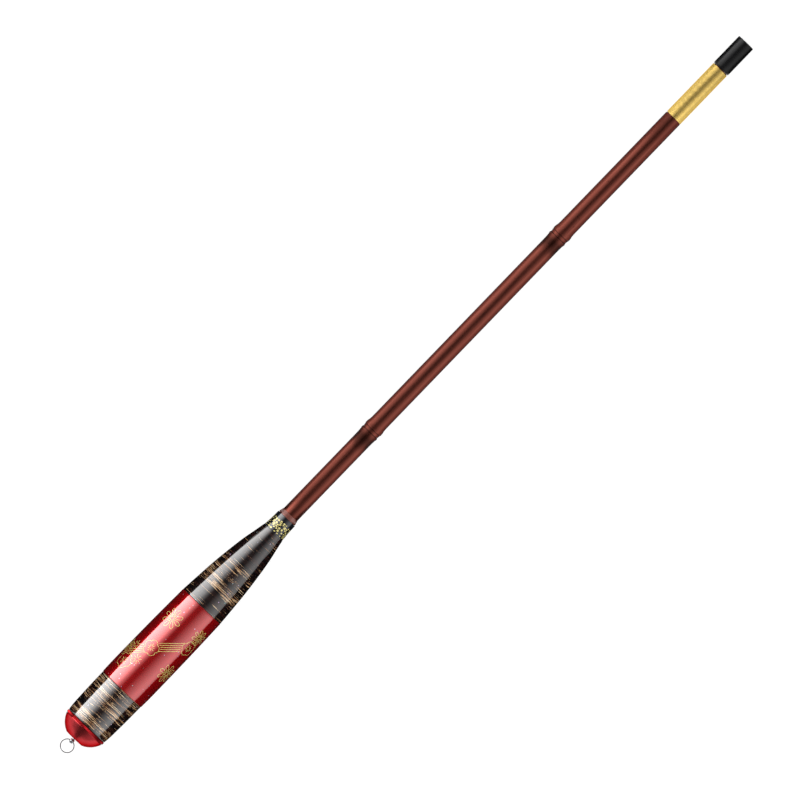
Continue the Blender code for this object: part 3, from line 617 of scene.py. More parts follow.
def flattened(mesh, level, share):
    """Pull a mesh towards level(x), a radius for each station, so that this share of its relief is left."""
    for vert in mesh.vertices:
        r = hypot(vert.co.y, vert.co.z)
        base = level(vert.co.x)
        scale = (base + share * (r - base)) / r
        vert.co.y *= scale
        vert.co.z *= scale


def piece(name, mesh, material, body, slot, *nodes):
    """Lay a finished mesh on the floor with the rod and let it ride on its body."""
    mesh.transform(LAY)
    mesh.shade_smooth()
    mesh.set_sharp_from_angle(angle=SHARP_ANGLE)
    mesh.materials.clear()
    mesh.materials.append(material)
    obj = placed(name, mesh)
    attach(obj, body)
    if nodes:
        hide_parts(*nodes)


def grown(tree, mesh, material, inputs):
    """Run a geometry tree on a mesh and keep the result as a plain mesh."""
    holder = placed("holder", mesh)
    step = holder.modifiers.new("grow", "NODES")
    step.node_group = tree
    values = dict(inputs, Finish=material)
    for item in tree.interface.items_tree:
        if item.item_type == "SOCKET" and item.in_out == "INPUT" and item.name in values:
            step[item.identifier] = values[item.name]
    holder.update_tag()
    made = bpy.data.meshes.new_from_object(holder.evaluated_get(bpy.context.evaluated_depsgraph_get()))
    holder.modifiers.remove(step)
    bpy.data.objects.remove(holder)
    return made


def geometry_tree(name, **inputs):
    """An empty geometry tree with named inputs for its sizes and its material."""
    tree = bpy.data.node_groups.new(name, "GeometryNodeTree")
    tree.interface.new_socket("Geometry", in_out="INPUT", socket_type="NodeSocketGeometry")
    for key, value in inputs.items():
        kind = "NodeSocketInt" if isinstance(value, int) else "NodeSocketFloat"
        tree.interface.new_socket(key, in_out="INPUT", socket_type=kind).default_value = value
    tree.interface.new_socket("Finish", in_out="INPUT", socket_type="NodeSocketMaterial")
    tree.interface.new_socket("Geometry", in_out="OUTPUT", socket_type="NodeSocketGeometry")
    return tree, add(tree, "NodeGroupInput")


def finish_tree(tree, geometry, given):
    real = add(tree, "GeometryNodeRealizeInstances", {0: geometry})
    painted = add(tree, "GeometryNodeSetMaterial", {"Geometry": real[0], "Material": given["Finish"]})
    add(tree, "NodeGroupOutput", {0: painted[0]})
    return tree


def round_strand(tree, path, corners, radius):
    """A path swept by a small circle, closed at its ends."""
    section = add(tree, "GeometryNodeCurvePrimitiveCircle", {"Resolution": corners, "Radius": radius})
    return add(tree, "GeometryNodeCurveToMesh", {0: path, 1: section[0], "Fill Caps": True})[0]


def make_winding_tree():
    """Thread wound side by side round the mouth: a helix along the rod, swept by the thread's section."""
    tree, given = geometry_tree(
        "thread_winding", Turns=WINDING_TURNS, Start=1.0, Length=1.0, Radius=1.0, Thread=0.25
    )
    turns = {"Resolution": 48, "Rotations": given["Turns"], "Start Radius": given["Radius"],
             "End Radius": given["Radius"], "Height": given["Length"]}
    helix = add(tree, "GeometryNodeCurveSpiral", turns)[0]
    start = add(tree, "ShaderNodeCombineXYZ", {0: given["Start"]})[0]
    move = {0: helix, "Translation": start, "Rotation": (0.0, pi / 2, 0.0)}
    along = add(tree, "GeometryNodeTransform", move)[0]
    return finish_tree(tree, round_strand(tree, along, 8, given["Thread"]), given)


def make_knurl_tree():
    """One rib, repeated evenly round the rod's axis."""
    tree, given = geometry_tree("straight_knurl", Ribs=KNURL_RIBS)
    spots = add(tree, "GeometryNodePoints", {"Count": given["Ribs"]})[0]
    index = add(tree, "GeometryNodeInputIndex")[0]
    angle = maths(tree, "MULTIPLY", maths(tree, "DIVIDE", index, given["Ribs"]), tau)
    turn = add(tree, "ShaderNodeCombineXYZ", {0: angle})[0]
    ribs = {"Points": spots, "Instance": given["Geometry"], "Rotation": turn}
    return finish_tree(tree, add(tree, "GeometryNodeInstanceOnPoints", ribs)[0], given)


def make_leaf_tree():
    """Scraps of leaf strewn over a surface: spaced at random, torn unevenly and pressed on to it."""
    tree, given = geometry_tree("strewn_leaf", Spacing=1.0, Smallest=0.3, Largest=0.8, Seed=1)
    ground = given["Geometry"]
    strewn = {"Mesh": ground, "Distance Min": given["Spacing"], "Density Max": 2.0, "Seed": given["Seed"]}
    spots = add(tree, "GeometryNodeDistributePointsOnFaces", strewn, distribute_method="POISSON")
    size = add(tree, "FunctionNodeRandomValue", {2: given["Smallest"], 3: given["Largest"], "Seed": 3})
    scrap = add(tree, "GeometryNodeMeshCircle", {"Vertices": 11, "Radius": 1.0}, fill_type="TRIANGLE_FAN")
    lay = {"Points": spots["Points"], "Instance": scrap[0],
           "Rotation": spots["Rotation"], "Scale": size[1]}
    laid = add(tree, "GeometryNodeInstanceOnPoints", lay)[0]
    flat = add(tree, "GeometryNodeRealizeInstances", {0: laid})[0]
    tear = add(tree, "ShaderNodeTexNoise", {"Scale": 1.3, "Detail": 1.0})["Color"]
    middle = add(tree, "ShaderNodeVectorMath", {0: tear, 1: (0.5, 0.5, 0.5)}, operation="SUBTRACT")[0]
    torn = add(tree, "ShaderNodeVectorMath", {0: middle, "Scale": 0.45}, operation="SCALE")[0]
    ragged = add(tree, "GeometryNodeSetPosition", {"Geometry": flat, "Offset": torn})[0]
    under = add(tree, "GeometryNodeProximity", {0: ground}, target_element="FACES")[0]
    pressed = add(tree, "GeometryNodeSetPosition", {"Geometry": ragged, "Position": under})[0]
    return finish_tree(tree, pressed, given)


def make_line_tree():
    """A drawn line raised a little from the lacquer: a fine round bead along each stroke."""
    tree, given = geometry_tree("raised_line", Bead=0.25)
    strokes = add(tree, "GeometryNodeMeshToCurve", {0: given["Geometry"]})[0]
    even = add(tree, "GeometryNodeResampleCurve", {"Curve": strokes, "Length": 0.3}, mode="LENGTH")[0]
    return finish_tree(tree, round_strand(tree, even, 6, given["Bead"]), given)


# Grip
def make_grip():
    rear = streaked_lacquer("black_lacquer_gold_foil_rear", BAND_RADII, REAR_FOIL)
    front = streaked_lacquer("black_lacquer_gold_foil_front", CONE_RADII, FRONT_FOIL)
    for name, radii, samples, lacquer, slot in (
        ("rear_band", BAND_RADII, 32, rear, "rear_band_lacquer"),
        ("red_sleeve", RED_RADII, 48, make_red_lacquer(), "red_lacquer"),
        ("front_cone", CONE_RADII, 56, front, "cone_lacquer"),
    ):
        shell = turned(name, shell_outline(radii, samples))
        piece(f"lacquered_{name}", shell, lacquer, "rod_butt", slot, f"grip_{name}")

    bore = BLANK_RADIUS + 0.15
    curve = rounded(curve_through(COLLAR_RADII, 12))
    (rear, rear_radius), (front, front_radius) = curve[0], curve[-1]
    outline = [(rear, bore), (rear, rear_radius - 0.12), *curve, (front, front_radius - 0.25), (front, bore)]
    collar = turned("collar", outline)
    piece("black_collar", collar, make_black_collar(), "rod_butt", "fleck_lacquer", "fleck_collar")
    curve = rounded(curve_through(COLLAR_RADII, 24))
    band = [(x, r + 0.012) for x, r in curve if FLECKS_START < x < FLECKS_END]
    leaf = make_gold_leaf()
    sizes = {"Spacing": 1.85, "Smallest": 0.4, "Largest": 1.15, "Seed": 7}
    scraps = grown(make_leaf_tree(), open_band("leaf_band", band, 96), leaf, sizes)
    piece("gold_leaf_flecks", scraps, leaf, "rod_butt", "fleck_lacquer")

    outline = [(CHECK_RADII[0][0], bore), *curve_through(CHECK_RADII, 16), (CHECK_RADII[-1][0], bore)]
    check = turned("check", outline)
    piece("brown_check", check, make_horn_check(), "rod_butt", "brown_horn", "winding_check")


# Line work on the red sleeve: traditional plum blossoms and daisies, drawn flat in millimetres
def turned_point(x, y, angle):
    return (x * cos(angle) - y * sin(angle), x * sin(angle) + y * cos(angle))


def rays(size, turn, count, start, ends):
    """Short strokes about a middle, their outer ends taken in turn from a list."""
    return [[turned_point(size * r, 0.0, turn + tau * n / count) for r in (start, ends[n % len(ends)])]
            for n in range(count)]


def daisy(size, turn):
    """Eight open petals about a small ring."""
    petal = []
    for k in range(17):
        t = tau * k / 16
        reach = 0.64 - 0.36 * cos(t)
        petal.append((size * reach, size * 0.165 * sin(t) * (0.45 + 0.75 * reach)))
    strokes = [[turned_point(x, y, turn + tau * n / 8) for x, y in petal] for n in range(8)]
    return strokes + [[turned_point(0.2 * size, 0.0, tau * k / 12) for k in range(13)]]


def plum(size, turn):
    """A five-lobed blossom outline with a star of stamens."""
    outline = []
    for k in range(60):
        t = tau * k / 60
        outline.append(turned_point(size * (0.8 + 0.2 * abs(sin(2.5 * t)) ** 0.8), 0.0, turn + t))
    return [outline + [outline[0]]] + rays(size, turn, 9, 0.18, (0.52, 0.42))


def star(size, turn):
    """Eight short strokes about an open middle."""
    return rays(size, turn, 8, 0.3, (1.0,))


def ribbon(start, end, bend):
    """Parallel lines between two points, spaced evenly along the rod, bowed by bend midway."""
    lines = []
    for n in range(RIBBON_LINES):
        shift = (n - (RIBBON_LINES - 1) / 2) * RIBBON_SPACING
        line = []
        for k in range(25):
            share = k / 24
            x = start[0] + shift + (end[0] - start[0]) * share
            line.append((x, start[1] + (end[1] - start[1]) * share + bend * 4 * share * (1 - share)))
        lines.append(line)
    return lines


# Each motif: its station, its way round from the top in millimetres of arc, its size and turn
MOTIFS = [
    (daisy, 112.2, -9.0, 7.2, 0.1), (plum, 89.0, -5.2, 5.4, 0.5), (plum, 104.9, 14.7, 5.4, 0.2),
    (daisy, 114.6, 15.4, 5.8, 0.3), (daisy, 83.4, 16.3, 6.8, 0.0), (star, 77.2, -6.9, 3.4, 0.2),
    (plum, 71.0, -13.4, 5.8, 0.9), (star, 83.6, -15.4, 3.4, 0.0), (daisy, 80.5, -22.5, 5.4, 0.2),
    (plum, 98.0, 33.0, 5.4, 0.3), (plum, 114.0, 48.5, 5.2, 0.8), (daisy, 76.5, 33.5, 6.4, 0.2),
    (star, 88.5, 29.0, 3.4, 0.1), (daisy, 119.0, -36.0, 6.2, 0.3), (star, 105.5, -31.0, 3.4, 0.3),
    (plum, 92.0, -42.0, 5.4, 0.6), (daisy, 84.0, 46.5, 5.6, 0.1),
]
RIBBONS = [((89.0, -5.2), (106.0, 13.2), -0.12), ((89.0, -5.2), (76.0, -21.0), 1.4),
           ((98.0, 33.0), (114.0, 48.5), 0.0)]
# How much of its size a motif covers where a ribbon runs to it
COVER = {plum: 0.98, daisy: 0.9, star: 0.9}


def uncovered_runs(line):
    """The stretches of a ribbon's line that don't lie under a blossom."""
    runs = [[]]
    for x, arc in line:
        if any(hypot(x - at, arc - way) < size * COVER[kind] for kind, at, way, size, _ in MOTIFS):
            runs.append([])
        else:
            runs[-1].append((x, arc))
    return [run for run in runs if len(run) > 1]


def make_line_work():
    strokes = []
    for kind, x, arc, size, turn in MOTIFS:
        strokes += [[(x + dx, arc + dy) for dx, dy in stroke] for stroke in kind(size, turn)]
    for start, end, bend in RIBBONS:
        for line in ribbon(start, end, bend):
            strokes += uncovered_runs(line)
    curve = curve_through(RED_RADII, 300)

    def ground(x):
        return radius_at(curve, x) * ROUND - LINE_SINK

    bm = bmesh.new()
    for stroke in strokes:
        verts = []
        for x, arc in stroke:
            angle = arc / RED_MIDDLE_RADIUS
            verts.append(bm.verts.new((x, -ground(x) * sin(angle), ground(x) * cos(angle))))
        for pair in zip(verts, verts[1:]):
            bm.edges.new(pair)
    bmesh.ops.remove_doubles(bm, verts=bm.verts, dist=0.001)
    gold = make_gold_line()
    beads = grown(make_line_tree(), as_mesh("strokes", bm), gold, {"Bead": LINE_BEAD})
    # The brush lays the lines flat: about a seventh as high as they are wide
    flattened(beads, ground, LINE_RELIEF)
    piece("gold_line_blossoms", beads, gold, "rod_butt", "red_lacquer")


# Blank and winding
def make_blank():
    outer = [(BLANK_START, BLANK_RADIUS - 0.2), (BLANK_START + 0.3, BLANK_RADIUS)]
    relief = curve_through(NODE_RELIEF, 64)
    for node in NODES:
        outer += [(node + dx, BLANK_RADIUS + max(rise, 0.0)) for dx, rise in relief]
    seat = WINDING_START - 0.1
    outer += [(seat - 0.2, BLANK_RADIUS), (seat, BLANK_RADIUS - 0.1), (seat, WINDING_SEAT),
              (MOUTH - 0.15, WINDING_SEAT), (MOUTH, WINDING_SEAT - 0.15)]
    rear_bore = MOUTH_BORE + BORE_TAPER * (MOUTH - BLANK_START)
    inner = [(MOUTH, MOUTH_BORE + 0.1), (MOUTH - 0.4, MOUTH_BORE), (BLANK_START, rear_bore)]
    brown = bamboo_paint("smoked_bamboo_paint_satin", "5E2D24", "68352B", scorched=True)
    blank = turned("blank", outer + inner, BLANK_SIDES)
    piece("bamboo_blank", blank, brown, "rod_butt", "bamboo_lacquer", "butt_section")

    gold = make_gold_thread()
    half = THREAD_WIDE / 2
    crest = BLANK_RADIUS + 0.01
    sizes = {"Turns": WINDING_TURNS, "Start": WINDING_START + half, "Radius": crest - half, "Thread": half,
             "Length": WINDING_END - WINDING_START - THREAD_WIDE}
    thread = grown(make_winding_tree(), bpy.data.meshes.new("none"), gold, sizes)
    # Varnish fills the grooves between the turns until about a third of their depth is left
    flattened(thread, lambda x: crest, THREAD_RELIEF)
    piece("gold_thread_winding", thread, gold, "rod_butt", "gold_thread", "mouth_winding")


# Inner sections, tip and plug
def make_inner_sections():
    for name, body in (("section_2", "second"), ("section_3", "third")):
        rear, front, wall = SECTIONS[name]
        narrowing = BORE_TAPER * (front - SECTION_REAR)
        front_radius = rear - narrowing
        bore = front_radius - wall
        outline = [(SECTION_REAR, rear - 0.05), (SECTION_REAR + 0.05, rear), (front - 0.2, front_radius),
                   (front, front_radius - 0.2), (front, bore), (SECTION_REAR, bore + narrowing)]
        paint = bamboo_paint(f"brown_paint_{body}_section", "45201A", "5A2E25")
        piece(f"painted_{name}", turned(name, outline, SMALL_SIDES), paint, body, f"{name}_lacquer", name)


def make_tip():
    # The tip's rear end jams in the mouth of the third section
    rear, front, wall = SECTIONS["section_3"]
    rear += BORE_TAPER * (35.0 + SECTION_REAR - front) - wall - 0.1
    end = TIP_END_RADIUS
    outline = [(SECTION_REAR, 0.0), (SECTION_REAR, rear - 0.1), (SECTION_REAR + 0.1, rear),
               (SECTION_REAR + TIP_SEAT_LENGTH, rear - BORE_TAPER * TIP_SEAT_LENGTH),
               (TIP_FRONT - 0.1, end), (TIP_FRONT, end - 0.1), (TIP_FRONT, 0.0)]
    paint = bamboo_paint("brown_paint_tip", "45201A", "5A2E25")
    tip = turned("tip", outline, TINY_SIDES, closed=False)
    piece("painted_tip", tip, paint, "tip", "tip_lacquer", "tip_section")

    steel = bare_metal("stainless_steel_turned", "B4B6B8", "DADBDC", 0.16, 0.26, 5.0, 0.1)
    bore = end + 0.12
    ferrule = [(600.5, bore), (600.5, 1.05), (600.6, 1.15), (606.6, 1.15), (606.85, 1.1), (607.0, 0.95),
               (607.0, 0.45), (606.4, 0.45), (606.4, bore)]
    tube = turned("ferrule", ferrule, TINY_SIDES)
    piece("turned_ferrule", tube, steel, "tip", "ferrule_steel", "tip_ferrule")
    foot = 606.25
    outline = [(foot - 0.7, 0.0), (foot - 0.7, 0.58), (foot, 0.58), (foot, LINE_EYE_STEM)]
    meet = asin(LINE_EYE_STEM / LINE_EYE_RADIUS)
    for n in range(25):
        angle = meet + (pi - meet) * n / 24
        x, r = -LINE_EYE_RADIUS * cos(angle), LINE_EYE_RADIUS * sin(angle)
        outline.append((LINE_EYE_CENTRE + x, r))
    outline[-1] = (LINE_EYE_CENTRE + LINE_EYE_RADIUS, 0.0)
    ball = turned("line_eye_body", outline, TINY_SIDES, closed=False)
    eye = drilled(ball, LINE_EYE_CENTRE, 0.45, 0.16, 1.3)
    piece("turned_line_eye", eye, steel, "turning_eye", "line_eye_steel", "line_eye")


def make_plug():
    radius = PLUG_RADIUS * ROUND
    groove = PLUG_BASE + 0.75
    outline = [(613.0, 0.0), (613.0, 2.85), (613.15, 3.0), (PLUG_BASE, 3.0), (PLUG_BASE, radius - 0.12),
               (PLUG_BASE + 0.04, radius - 0.04), (PLUG_BASE + 0.12, radius), (groove - 0.15, radius),
               (groove, radius - 0.15), (groove + 0.15, radius), (PLUG_END - 0.3, radius),
               (PLUG_END - 0.09, radius - 0.09), (PLUG_END, radius - 0.3), (PLUG_END, 0.0)]
    plug = turned("plug", outline, closed=False)
    piece("turned_plug", plug, make_black_plastic(), "plug", "black_plug", "plug_head")

    start, end = SLEEVE_START, PLUG_BASE - 0.15
    outline = [(start, 4.2), (start + 0.15, 4.38), (start + 0.5, 4.5)]
    for n in range(1, 4):
        rib = start + (end - start) / 4 * n
        lip = [(-1.2, 4.5), (-0.5, 4.62), (-0.1, 4.75), (0.1, 4.74), (0.3, 4.5)]
        outline += [(rib + dx, r) for dx, r in lip]
    outline += [(end, 4.5), (end, 3.15), (612.8, 3.15), (612.8, 3.4), (start + 0.4, 3.4), (start, 3.7)]
    rubber = soft_rubber("grey_silicone_rubber", "5A5A58", "6C6C69")
    sleeve = turned("sleeve", outline, SMALL_SIDES)
    piece("ribbed_sleeve", sleeve, rubber, "plug", "sleeve_rubber", "plug_sleeve")


# Screw cap, eye and ring
def screw_thread(name, turns, reach, start, radius, section):
    """A screw thread that runs out at both ends, within this reach of turns."""

    def place(turn):
        scale = min(max(min(turn, reach - turn) / 0.4, 0.35), 1.0)
        return start + THREAD_PITCH * turn, radius(scale), scale

    return swept(name, turns, SMALL_SIDES, place, section)


def thread_section(half_base, half_crest, depth):
    return [(-half_base, -depth), (-half_crest, 0.0), (half_crest, 0.0), (half_base, -depth)]


def make_cap():
    dye = anodised("aluminium_turned_anodised_red", "BC3C40", "CC4448", 25.9)
    root = THREAD_RADIUS - THREAD_DEPTH
    eye_hole = EYE_NECK + 0.25

    def dome(x):
        return CAP_DOME_LIFT + sqrt(CAP_DOME_RADIUS**2 - (CAP_DOME_CENTRE - x) ** 2)

    outline = [(CAP_FACE + 0.12, eye_hole), (CAP_FACE, eye_hole + 0.12),
               (CAP_FACE, dome(CAP_FACE) * ROUND - 0.25)]
    for n in range(49):
        x = CAP_FACE + 0.06 + (CAP_DOME_END - CAP_FACE - 0.06) * (n / 48) ** 1.5
        outline.append((x, dome(x) * ROUND))
    edge = CAP_DOME_END + 0.05
    outline += [(edge, outline[-1][1] - 0.25), (edge, 14.9), (CAP_SHOULDER, 14.9), (CAP_SHOULDER, root - 0.3),
                (24.95, root - 0.3), (25.15, root), (SPIGOT_END - 0.5, root), (SPIGOT_END, root - 0.5),
                (SPIGOT_END, 7.6), (26.0, 7.6), (26.0, 4.5), (15.0, 4.5), (15.0, eye_hole)]
    run_out = 0.8 * THREAD_DEPTH
    section = thread_section(0.36 * THREAD_PITCH, 0.08 * THREAD_PITCH, THREAD_DEPTH + 0.1)
    thread = screw_thread("cap_thread", THREAD_TURNS, THREAD_TURNS, THREAD_START,
                          lambda scale: THREAD_RADIUS - (1.0 - scale) * run_out, section)
    cap = joined("cap", turned("dome", outline), thread)
    piece("anodised_cap", cap, dye, "cap", "red_aluminium", "butt_cap")

    outer = KNURL_RADIUS - KNURL_DEPTH
    rim = [(KNURL_START, 15.05), (KNURL_START, outer - 0.2), (KNURL_START + 0.2, outer),
           (CAP_SHOULDER - 0.15, outer), (CAP_SHOULDER, outer - 0.15), (CAP_SHOULDER, 15.05)]
    half = pi * outer / KNURL_RIBS * 0.82
    foot, crest = outer - 0.03, KNURL_RADIUS * 0.9985
    bm = bmesh.new()
    rear, front = (
        [bm.verts.new(at) for at in ((x, -half, foot), (x + slope, 0.0, crest), (x, half, foot))]
        for x, slope in ((KNURL_START + 0.22, KNURL_DEPTH), (CAP_SHOULDER - 0.17, -KNURL_DEPTH))
    )
    bm.faces.new(rear)
    bm.faces.new(front)
    for j in range(3):
        k = (j + 1) % 3
        bm.faces.new((rear[j], rear[k], front[k], front[j]))
    ribs = grown(make_knurl_tree(), new_mesh("rib", bm), dye, {"Ribs": KNURL_RIBS})
    # Painted shade: the rim's anodised red is a darker copy of the cap's, so that the light its ribs catch
    # stays low
    knurl = anodised("aluminium_knurled_anodised_red_darkened_for_shade", "8A181C", "981C20", 21.8)
    knurled = joined("rim", turned("rim_body", rim), ribs)
    piece("knurled_rim", knurled, knurl, "cap", "knurled_aluminium", "cap_knurled_ring")

    # The insert's own thread runs half a pitch beside the cap's
    bare = bare_metal("aluminium_turned_bare", "9FA2A5", "C6C9CB", 0.24, 0.36, 5.0, 0.1)
    outline = [(GRIP_START, 10.85), (GRIP_START, 12.3), (GRIP_START + 0.1, 12.4), (35.9, 12.4), (36.0, 12.3),
               (36.0, 10.2), (25.35, 10.2), (24.95, 10.85)]
    section = [(dx, -dr) for dx, dr in thread_section(0.68, 0.27, 1.05)]
    ridge = screw_thread("inner_thread", 4.0, 4.1, INNER_THREAD_START,
                         lambda scale: 9.3 + (1.0 - scale) * run_out, section)
    lead = (INNER_THREAD_START - 25.4) / THREAD_PITCH
    ridge.transform(Matrix.Rotation(lead * tau, 4, "X"))
    insert = joined("insert", turned("insert_body", outline), ridge)
    piece("threaded_insert", insert, bare, "rod_butt", "bare_aluminium", "butt_insert")


def make_eye_and_ring():
    steel = bare_metal("stainless_steel_brushed", "8E9195", "AEB1B4", 0.22, 0.32, 0.8, 0.8)
    meet = pi - asin(EYE_NECK / EYE_RADIUS)
    outline = [(EYE_CENTRE - EYE_RADIUS, 0.0)]
    for n in range(1, 29):
        angle = meet * n / 28
        outline.append((EYE_CENTRE - EYE_RADIUS * cos(angle), EYE_RADIUS * sin(angle)))
    outline += [(16.35, EYE_NECK), (16.35, 1.6), (17.15, 1.3), (17.15, 0.0)]
    eye = drilled(turned("eye_body", outline, SMALL_SIDES, closed=False), EYE_CENTRE, EYE_HOLE, 0.2, 2.0)
    piece("turned_swivel_eye", eye, steel, "eye", "eye_steel", "swivel_eye")

    # Flattened wire, wound from 4 to 692 degrees, that crosses over to its second turn at 333 degrees
    wide, high, soft = 0.55 / 2, 0.5 / 2, 0.04
    section = [(-high, soft - wide), (-high, wide - soft), (soft - high, wide), (high - soft, wide),
               (high, wide - soft), (high, soft - wide), (high - soft, -wide), (soft - high, -wide)]

    def place(turn):
        way = min(max((turn * 360.0 + 4.0 - 333.0) / 30.0, 0.0), 1.0)
        return 0.6 * (way * way * (3.0 - 2.0 * way) - 0.5), RING_OUTER - wide, 1.0

    ring = swept("ring", (692.0 - 4.0) / 360.0, 96, place, section)
    ring.transform(Matrix.Translation((RING_OUTER, 0.0, 0.0)) @ Matrix.Rotation(-pi / 2, 4, "Y"))
    # Painted shade: the ring's steel has a much darker colour than the eye's, so that the light it catches
    # leaves it grey
    wire = bare_metal("steel_wire_darkened_for_shade", "4A4D51", "6A6D71", 0.25, 0.38, 1.5, 1.5)
    piece("wire_split_ring", ring, wire, "ring", "ring_steel", "split_ring")


def paint_kept_parts():
    """The CAD parts that stay as they are get their own finishes."""
    finishes = {
        "grip_core": (make_light_wood(), "light_wood"),
        "cap_buffer": (soft_rubber("grey_nitrile_rubber", "3A3A3A", "4A4A49"), "buffer_rubber"),
        "cap_seal": (soft_rubber("black_nitrile_rubber", "121212", "1D1D1E"), "seal_rubber"),
        "eye_washer": (
            bare_metal("steel_washer_ground", "8E9194", "B4B7B9", 0.3, 0.45, 0.8, 0.8), "washer_steel"
        ),
    }
    for name, (finish, slot) in finishes.items():
        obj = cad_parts[name]
        obj.material_slots[0].material = finish


def studio_world():
    """Dim overhead, white at the horizon, so that the low views have a pale background."""
    world = bpy.data.worlds.new("studio")
    world.use_nodes = True
    scene.world = world
    tree = world.node_tree
    ground = tree.nodes["Background"]
    height = split(tree, add(tree, "ShaderNodeTexCoord")["Generated"])[2]
    level = ramp(tree, height, (0.0, 1.0), (0.28, 1.0), (0.42, 0.12), (1.0, 0.07))
    tree.links.new(level, ground.inputs["Color"])
    ground.inputs["Strength"].default_value = 1.0


def staged(name, data, *unseen, height=0.0):
    """Put something of the studio in the scene, not seen by these kinds of ray."""
    obj = placed(name, data)
    obj.location.z = height
    for kind in unseen:
        setattr(obj, f"visible_{kind}", False)


def diffuser(name, side, stops, run, reach=PANEL_REACH):
    """A curved diffuser along one side of the rod, not seen by the camera.

    Its brightness follows one ramp from its upper edge to its lower one and another along the rod.
    """
    low, high = stops[0][0], stops[-1][0]
    rear, front = run[0][0], run[-1][0]
    peak = max(level for _, level in stops)
    bm = bmesh.new()
    layer = bm.loops.layers.uv.new("angle")
    rows = []
    for n in range(PANEL_STEPS + 1):
        angle = radians(low + (high - low) * n / PANEL_STEPS)
        y, z = side * reach * sin(angle), reach * cos(angle)
        rows.append([bm.verts.new((x, y, z + ROD_HEIGHT)) for x in (rear, front)])
    for n, (row, after) in enumerate(zip(rows, rows[1:])):
        face = bm.faces.new((row[0], row[1], after[1], after[0]))
        for loop, share, end in zip(face.loops, (n, n, n + 1, n + 1), (0, 1, 1, 0)):
            loop[layer].uv = (share / PANEL_STEPS, end)
    mesh = as_mesh(name, bm)
    glow, tree, shader = plain_look(name)
    tree.nodes.remove(shader)
    way_down, way_along, _ = split(tree, add(tree, "ShaderNodeUVMap", uv_map="angle")[0])
    across = ramp(tree, way_down, *[((angle - low) / (high - low), level / peak) for angle, level in stops])
    along = ramp(tree, way_along, *[((x - rear) / (front - rear), share) for x, share in run])
    level = add(tree, "ShaderNodeVectorMath", {0: across, 1: along}, operation="MULTIPLY")[0]
    light = add(tree, "ShaderNodeEmission", {"Color": level, "Strength": peak})
    tree.links.new(light[0], tree.nodes["Material Output"].inputs[0])
    mesh.materials.append(glow)
    staged(name, mesh, "camera", "shadow", "diffuse")


def softbox():
    """A wide lamp overhead for the even light. It isn't mirrored in the lacquer, where the diffusers show."""
    lamp = bpy.data.lights.new("softbox", "AREA")
    lamp.size = SOFTBOX_SIZE
    lamp.energy = SOFTBOX_LEVEL * pi * SOFTBOX_SIZE**2
    staged("softbox", lamp, "glossy", "camera", height=SOFTBOX_HEIGHT)


def dark_card(name, corners, dark="101010", pale="181818"):
    """A dark card of two panels, seen only in reflections, that gives the lacquer its dark edges."""
    mesh = faced(name, corners, [(0, 1, 3, 2), (2, 3, 5, 4)])
    made, tree, shader, rod = look("black_card", Roughness=0.9, Specular_IOR_Level=0.0)
    tooth = noise(tree, rod, Scale=0.5)
    connect(tree, shader, Base_Color=ramp(tree, tooth, (0.3, dark), (0.7, pale)))
    mesh.materials.append(made)
    staged(name, mesh, "camera", "diffuse", "shadow")


def make_cards():
    """Cards low beside the grip and the plug, and one off the ring end that parts the cap's lights."""
    # How far out each row of a card lies, how high, and where it begins and ends beside the grip
    rows = [(0.0, 0.0006, -0.3, -0.108), (0.25, 0.004, -0.35, -0.065), (0.62, 0.1, -0.42, 0.0)]
    for word, side in (("key", 1.0), ("fill", -1.0)):
        beside_grip = [(x, side * y, z) for y, z, rear, front in rows for x in (rear, front)]
        dark_card(f"{word}_side_grip_card", beside_grip)
        beside_plug = [(x, side * y, z) for y, z, _, _ in rows for x in (0.2965, 0.36)]
        dark_card(f"{word}_side_plug_card", beside_plug)
    rows = [(-0.36, 0.002, 0.0006), (-1.2, 0.17, 0.0006), (-1.2, 0.17, 0.4)]
    off_end = [(x, side * y, z) for x, y, z in rows for side in (-1.0, 1.0)]
    dark_card("ring_end_card", off_end, "484848", "545454")


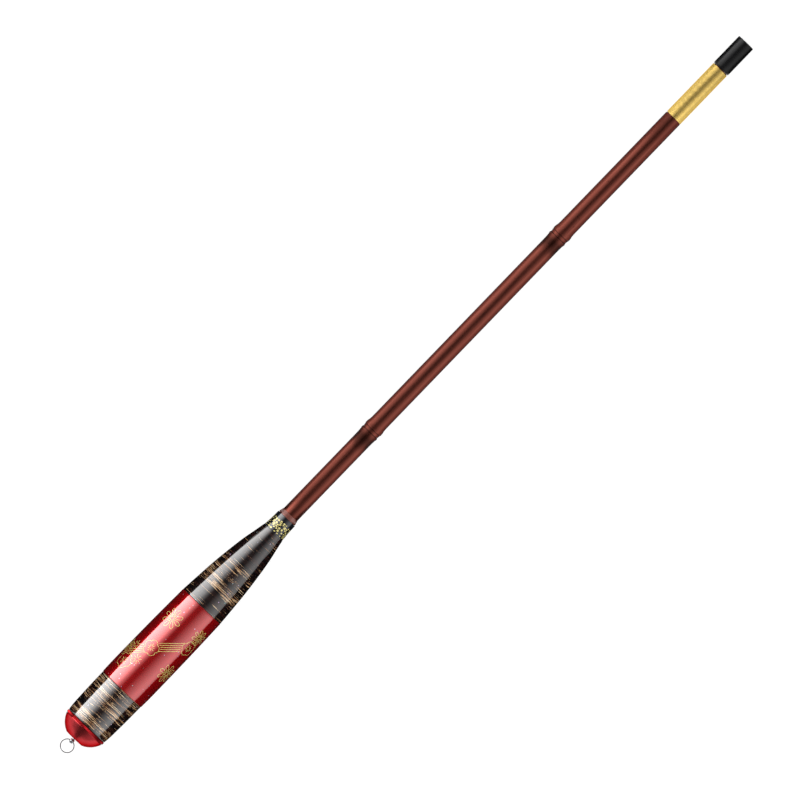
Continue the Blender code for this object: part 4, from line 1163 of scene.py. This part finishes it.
def make_floor():
    """A plain pale floor that is white to the camera and in reflections, and keeps the rod's shadow.

    The rod lies with its axis dipping forwards, so in front of the plug the floor falls away a little
    and the sections stay clear of it when they are drawn out.
    """
    edges = [(-FLOOR_HALF, 0.0), (FLOOR_BEND, 0.0), (FLOOR_HALF, -FLOOR_FALL)]
    corners = [(x, y, z) for x, z in edges for y in (-FLOOR_HALF, FLOOR_HALF)]
    mesh = faced("floor", corners, [(0, 2, 3, 1), (2, 4, 5, 3)])
    matt = {"Roughness": 0.9, "Specular_IOR_Level": 0.0, "Emission_Color": (1.0, 1.0, 1.0, 1.0)}
    pale, tree, shader = plain_look("white_paper_sweep", **matt)
    path = add(tree, "ShaderNodeLightPath")
    seen = path["Is Camera Ray"]
    for kind in ("Is Glossy Ray", "Is Transmission Ray"):
        seen = maths(tree, "MAXIMUM", seen, path[kind])
    # Where it is seen, the paper is lit half by the studio and half by itself, so its shadow stays faint
    paper = blended(tree, seen, srgb("E6E6E6"), srgb("8E8E8E"))
    connect(tree, shader, Base_Color=paper, Emission_Strength=maths(tree, "MULTIPLY", seen, PAPER_GLOW))
    mesh.materials.append(pale)
    staged("floor", mesh)


def make_camera():
    """Square on to the rod from above, turned so that the rod runs up to the right as photographed."""
    along = (LAY.to_3x3() @ Vector((1.0, 0.0, 0.0))).normalized()
    up = (LAY.to_3x3() @ Vector((0.0, 0.0, 1.0))).normalized()
    side = up.cross(along)
    right = cos(PHOTO_TURN) * along - sin(PHOTO_TURN) * side
    top = sin(PHOTO_TURN) * along + cos(PHOTO_TURN) * side
    data = bpy.data.cameras.new("camera")
    data.lens = LENS
    data.sensor_width = SENSOR
    data.clip_start = 0.1
    data.clip_end = 50.0
    obj = placed("camera", data)
    distance = FRAME_WIDTH * LENS / SENSOR
    turn = Matrix((right, top, up)).transposed().to_4x4()
    obj.matrix_world = Matrix.Translation(LAY @ PHOTO_MIDDLE + up * distance) @ turn
    scene.camera = obj


make_camera()
make_grip()
make_line_work()
make_blank()
make_inner_sections()
make_tip()
make_plug()
make_cap()
make_eye_and_ring()
paint_kept_parts()

make_floor()
studio_world()
diffuser("key_diffuser", 1.0, KEY_SIDE, KEY_RUN)
diffuser("fill_diffuser", -1.0, FILL_SIDE, FILL_RUN)
diffuser("tube_key_diffuser", 1.0, KEY_SIDE, TUBE_KEY_RUN, TUBE_REACH)
diffuser("tube_fill_diffuser", -1.0, FILL_SIDE, TUBE_FILL_RUN, TUBE_REACH)
make_cards()
softbox()
scene.view_settings.view_transform = "Standard"
